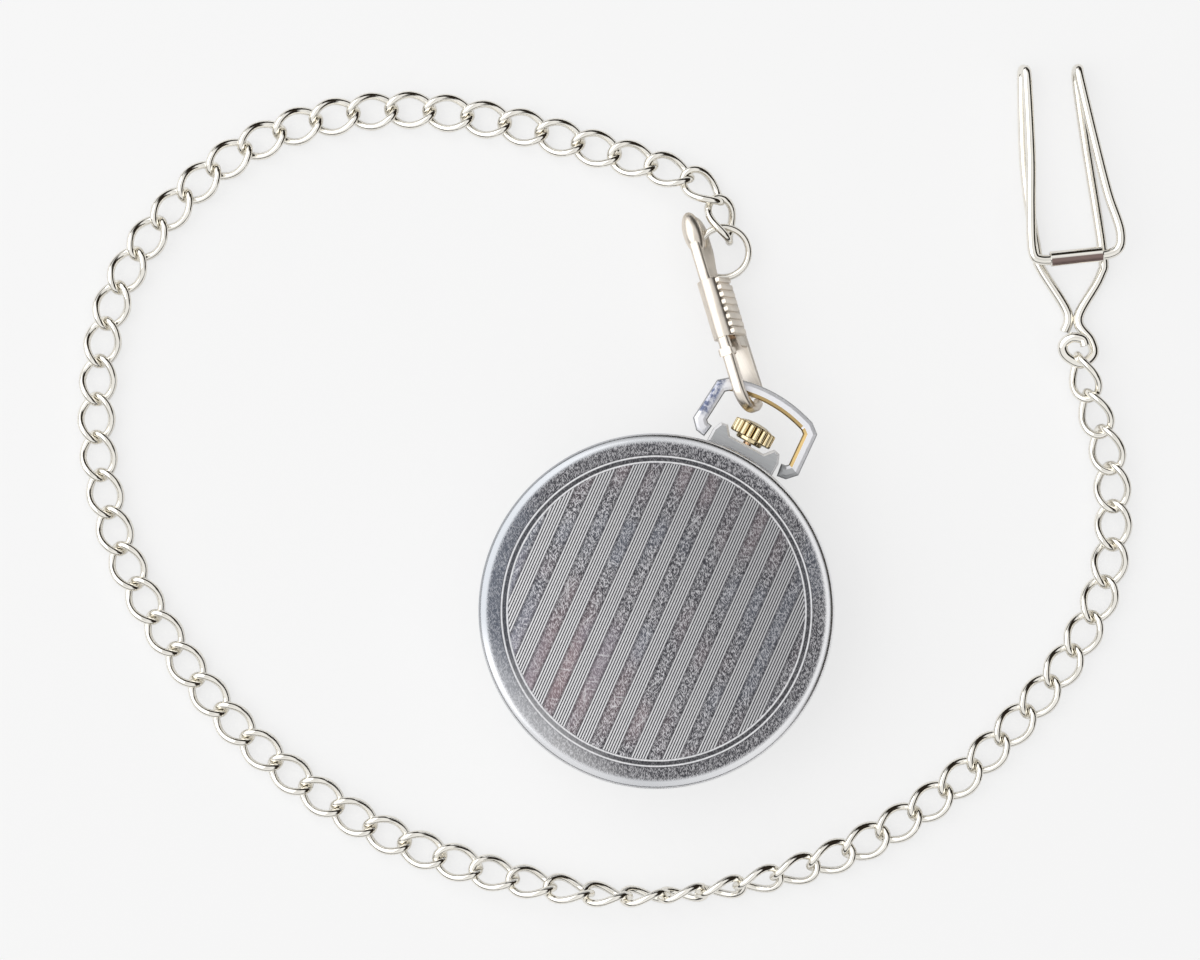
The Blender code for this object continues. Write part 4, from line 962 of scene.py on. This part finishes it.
def clasp_thumb():
    """Folded lever with rounded thumb ribs, and the gate that it carries."""
    top = []
    for i in range(LEVER_RIBS):
        top += arc(LEVER_RIB_RADIUS, 180, 0, 6, (LEVER_RIB_START[0] + i, LEVER_RIB_START[1]))
    top.append(LEVER_TOP_END)
    cheek = [(9.8, 5.3)] + top + [(19.0, 5.6), (18.8, 3.4), (12.6, 2.4), (10.1, 2.6)]
    spine = [(9.8, 5.25)] + top + [(18.9, 5.25)]
    gate = [(GATE_START, 5.3), (GATE_TIP, 5.8), (GATE_TIP, 6.4), (GATE_START, 6.1)]
    pieces = []
    for low, high in ((-LEVER_HALF_WIDTH, -LEVER_SLOT), (LEVER_SLOT, LEVER_HALF_WIDTH)):
        pieces.append(plate([cheek], low, high, 0.1, CLASP))
    pieces.append(clasp_plate([spine], LEVER_SLOT + 0.1, 0.02))
    pieces.append(clasp_plate([gate], GATE_HALF_WIDTH, 0.25, 4))
    return settle(merge(pieces), "clasp_thumb", "clasp_lever", GATE_NICKEL, ["clasp_lever"])


def jump_ring():
    """Round ring through the clasp's eye."""
    inside, outside = Vector(RING_IN_EYE), Vector(RING_UNDER_EYE)
    chord = (outside - inside).normalized()
    lean = Vector((-chord.y, chord.x, 0)) * cos(RING_LEAN) + Vector((0, 0, sin(RING_LEAN)))
    offset = sqrt(RING_RADIUS**2 - ((outside - inside).length / 2) ** 2)
    middle = (inside + outside) / 2 + lean * offset
    path = [CLASP @ ((middle + chord * x + lean * y) * MM) for x, y in circle(RING_RADIUS, 64)]
    ring = rod([path], RING_WIRE, cyclic=True)
    return settle(ring, "split_ring", "chain", NICKEL, ["jump_ring"])


def link_path(place, heading, roll):
    """One curb link's middle line: an oval loop twisted about its length."""
    half_length = LINK_LENGTH / 2 - WIRE_RADIUS
    half_width = LINK_WIDTH / 2 - WIRE_RADIUS
    turned = Matrix.Rotation(heading, 4, "Z") @ Matrix.Rotation(roll, 4, "X")
    stand = Matrix.Translation(place * MM) @ turned
    points = []
    for x, y in circle(1.0, LINK_POINTS):
        twist = LINK_TWIST * x
        across = half_width * y
        points.append(stand @ (Vector((half_length * x, across * cos(twist), across * sin(twist))) * MM))
    return points


def link_roll(travelled, total):
    """Links stand on edge at both ends, and turn over once between."""
    over = (travelled / total - TURN_OVER_START) / (TURN_OVER_END - TURN_OVER_START)
    near_ring = max(1 - (travelled - LINK_LENGTH / 2) / END_TURN_LENGTH, 0)
    near_clip = max(1 - (total - LINK_LENGTH / 2 - travelled) / END_TURN_LENGTH, 0)
    return TURN_OVER * min(max(over, 0), 1) + END_TURN * (near_clip - near_ring)


def chain():
    """Curb links along the route between ring and clip."""
    dense = smooth_route(CHAIN_ROUTE, ROUTE_STEPS)
    lengths = [0.0]
    for a, b in zip(dense, dense[1:]):
        lengths.append(lengths[-1] + (b - a).length)
    total = lengths[-1]
    reach = LINK_LENGTH / 2 - WIRE_RADIUS
    loops = []
    for number in range(LINK_COUNT):
        travelled = reach + (total - 2 * reach) * number / (LINK_COUNT - 1)
        i = max(k for k, length in enumerate(lengths[:-1]) if length <= travelled)
        place = dense[i].lerp(dense[i + 1], (travelled - lengths[i]) / (lengths[i + 1] - lengths[i]))
        run = dense[min(i + 2, len(dense) - 1)] - dense[max(i - 1, 0)]
        heading = TABLE_TURN - Vector((1, 0)).angle_signed(run.xy)
        roll = link_roll(travelled, total)
        lift = RING_LIFT * max(1 - travelled / END_TURN_LENGTH, 0)
        place = TABLE @ (place + Vector((0, 0, LINK_REST + LINK_ON_EDGE * abs(sin(roll)) + lift)))
        loops.append(link_path(place, heading, roll))
    links = rod(loops, WIRE_RADIUS, cyclic=True)
    runs = [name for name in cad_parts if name.startswith("chain_run")]
    settle(links, "curb_chain", "chain", NICKEL, runs)


def clip_bend():
    """Bent wire of the clip: a plain end at the throat, and one rolled into the eye."""
    up, low = CLIP_UPPER, CLIP_LOWER
    mid = (up + low) / 2
    left = [(56.0, 48.0, up), (52.6, 47.7, up), (51.4, 49.0, up), (51.2, 54.9, up - 0.4)]
    left += [(51.2, 62.0, up - 0.6), (50.7, 72.3, up - 1.0), (50.5, 73.6, mid), (50.3, 72.5, low)]
    left += [(50.7, 60.0, low), (52.3, 49.0, low), (52.9, 46.6, low), (56.5, 40.7, low), (56.1, 38.0, low)]
    eye = [(58.6, 36.0, low + 3.4), (58.2, 36.9, low + 3.3), (56.7, 37.1, low + 3.1)]
    eye += [(55.6, 36.1, low + 2.7), (56.1, 34.6, low + 2.3), (58.2, 33.6, low + 1.9)]
    eye += [(59.9, 34.9, low + 1.5), (59.6, 36.8, low + 1.0)]
    right = [(57.95, 39.9, low + 0.4), (61.0, 45.6, low), (61.3, 49.2, low), (58.9, 64.5, low)]
    right += [(57.8, 72.5, low), (57.8, 73.9, mid), (58.0, 72.3, up - 1.0), (59.8, 64.5, up - 0.6)]
    right += [(61.7, 56.9, up - 0.4), (63.4, 51.4, up), (62.4, 48.7, up), (56.9, 48.1, up)]
    paths = [[TABLE @ (p * MM) for p in smooth_route(end, CLIP_STEPS)] for end in (left, eye + right)]
    wire = rod(paths, CLIP_WIRE, resolution=5)
    return settle(wire, "clip_bend", "chain", NICKEL, ["clip_wire"])


def clip_sleeve():
    """Rolled sleeve with turned-in ends and a dark seam."""
    start, end = Vector(BARREL_START), Vector(BARREL_END)
    half = (end - start).length / 2
    inset, step = BARREL_ROUND
    outer = BARREL_OUTSIDE
    profile = [(outer - inset, half), (outer, half - step), (outer, step - half), (outer - inset, -half)]
    sleeve = lathe(profile + [(BARREL_BORE, -half), (BARREL_BORE, half)], 40, ring=True)
    run = (end - start).normalized()
    stand = TABLE @ Matrix.Translation((start + end) / 2 * MM)
    sleeve.matrix_world = stand @ run.to_track_quat("Z", "Y").to_matrix().to_4x4()
    settle(sleeve, "clip_sleeve", "chain", [NICKEL, SEAM], ["clip_barrel"])
    seam = TABLE @ Vector(BARREL_SEAM_SIDE)
    for face in sleeve.data.polygons:
        face.material_index = 1 if face.normal.dot(seam) > BARREL_SEAM_FROM else 0
    return sleeve


def dial_mark(mark, turn, middle=(0, 0)):
    """The outline of one mark, turned about a middle by a share of a whole turn."""
    half, inner, outer = mark
    c, s = cos(tau * turn), sin(tau * turn)
    corners = [(-half, inner), (half, inner), (half, outer), (-half, outer)]
    return [(x * c - y * s + middle[0], x * s + y * c + middle[1]) for x, y in corners]


def dial_figure(hour, height):
    """A plain numeral that reads from below."""
    clear_selection()
    bpy.ops.object.text_add()
    figure = bpy.context.object
    figure.data.body = str(hour)
    figure.data.size = FIGURE_SIZE * MM
    figure.data.align_x = "CENTER"
    figure.data.align_y = "CENTER"
    figure.data.extrude = PRINT_DEPTH / 2 * MM
    bpy.ops.object.convert(target="MESH")
    angle = tau * hour / 12
    spot = Vector((-FIGURE_RADIUS * sin(angle), FIGURE_RADIUS * cos(angle), height)) * MM
    figure.matrix_world = Matrix.Translation(spot) @ Matrix.Rotation(pi, 4, "Y")
    return figure


def dial_face():
    """Dial with plain numerals, minute track and seconds ring, seen from below."""
    holes = [circle(CENTRE_HOLE), circle(SECONDS_HOLE, 24, SECONDS_MIDDLE)]
    sheet = plate([circle(DIAL_RADIUS, ROUND)] + holes, DIAL_FRONT, DIAL_BACK, DIAL_EDGE)
    settle(sheet, "dial_sheet", "case", DIAL_PAINT, ["dial"])
    marks = [dial_mark(MINUTE_MARK if i % 5 else HOUR_MARK, i / 60) for i in range(60)]
    marks += [dial_mark(SECOND_MARK, i / 12, SECONDS_MIDDLE) for i in range(12)]
    high = DIAL_FRONT - PRINT_DEPTH
    low = high - PRINT_DEPTH
    printing = [plate(marks, low, high)]
    for radius, middle in TRACKS:
        rings = [circle(radius, ROUND, middle), circle(radius - TRACK_WIDTH, ROUND, middle)]
        printing.append(plate(rings, low, high))
    printing += [dial_figure(hour, low) for hour in range(1, 13) if hour != COVERED_HOUR]
    settle(merge(printing), "dial_print", "case", PRINT)


def dress_nodes():
    """Finishes of the CAD pieces that keep their own shape."""
    finishes = {
        PLATE_GILT: ["main_plate", "mainspring_barrel", "center_wheel", "third_wheel", "fourth_wheel",
                     "balance_wheel", "hour_wheel"],
        STEEL: ["train_bridge", "pallet_bridge", "balance_cock", "ratchet_wheel", "crown_wheel"],
        BLUED: ["hour_hand", "minute_hand", "seconds_hand", "winding_pinion", "escape_wheel", "pallet_fork",
                "hairspring"],
        # the clasp spring's bronze is painted shade for the inside of the sleeve
        PAINTED_SHADE_BRONZE: ["clasp_spring", "winding_stem"],
        CAST_NICKEL: ["clasp_pin"],
    }
    for finish, names in finishes.items():
        for name in names:
            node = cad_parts[name]
            node.data.materials.clear()
            node.data.materials.append(finish)


camera()
table_top()
surroundings()
lamp("key_panel", TABLE @ Vector(KEY_PLACE), KEY_SIZE, KEY_WATTS)
back_cover()
middle_ring()
front_ring()
settle(lathe(CRYSTAL_PROFILE), "domed_crystal", "case", GLASS, ["crystal"])
pendant_block()
bow_strip()
crown_knob()
dial_face()
hardware = [clasp_body(), clasp_thumb(), jump_ring(), clip_bend(), clip_sleeve()]
hardware += [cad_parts[name] for name in ("clasp_pin", "clasp_spring")]
chain()
dress_nodes()

bpy.context.scene.view_settings.view_transform = "Standard"
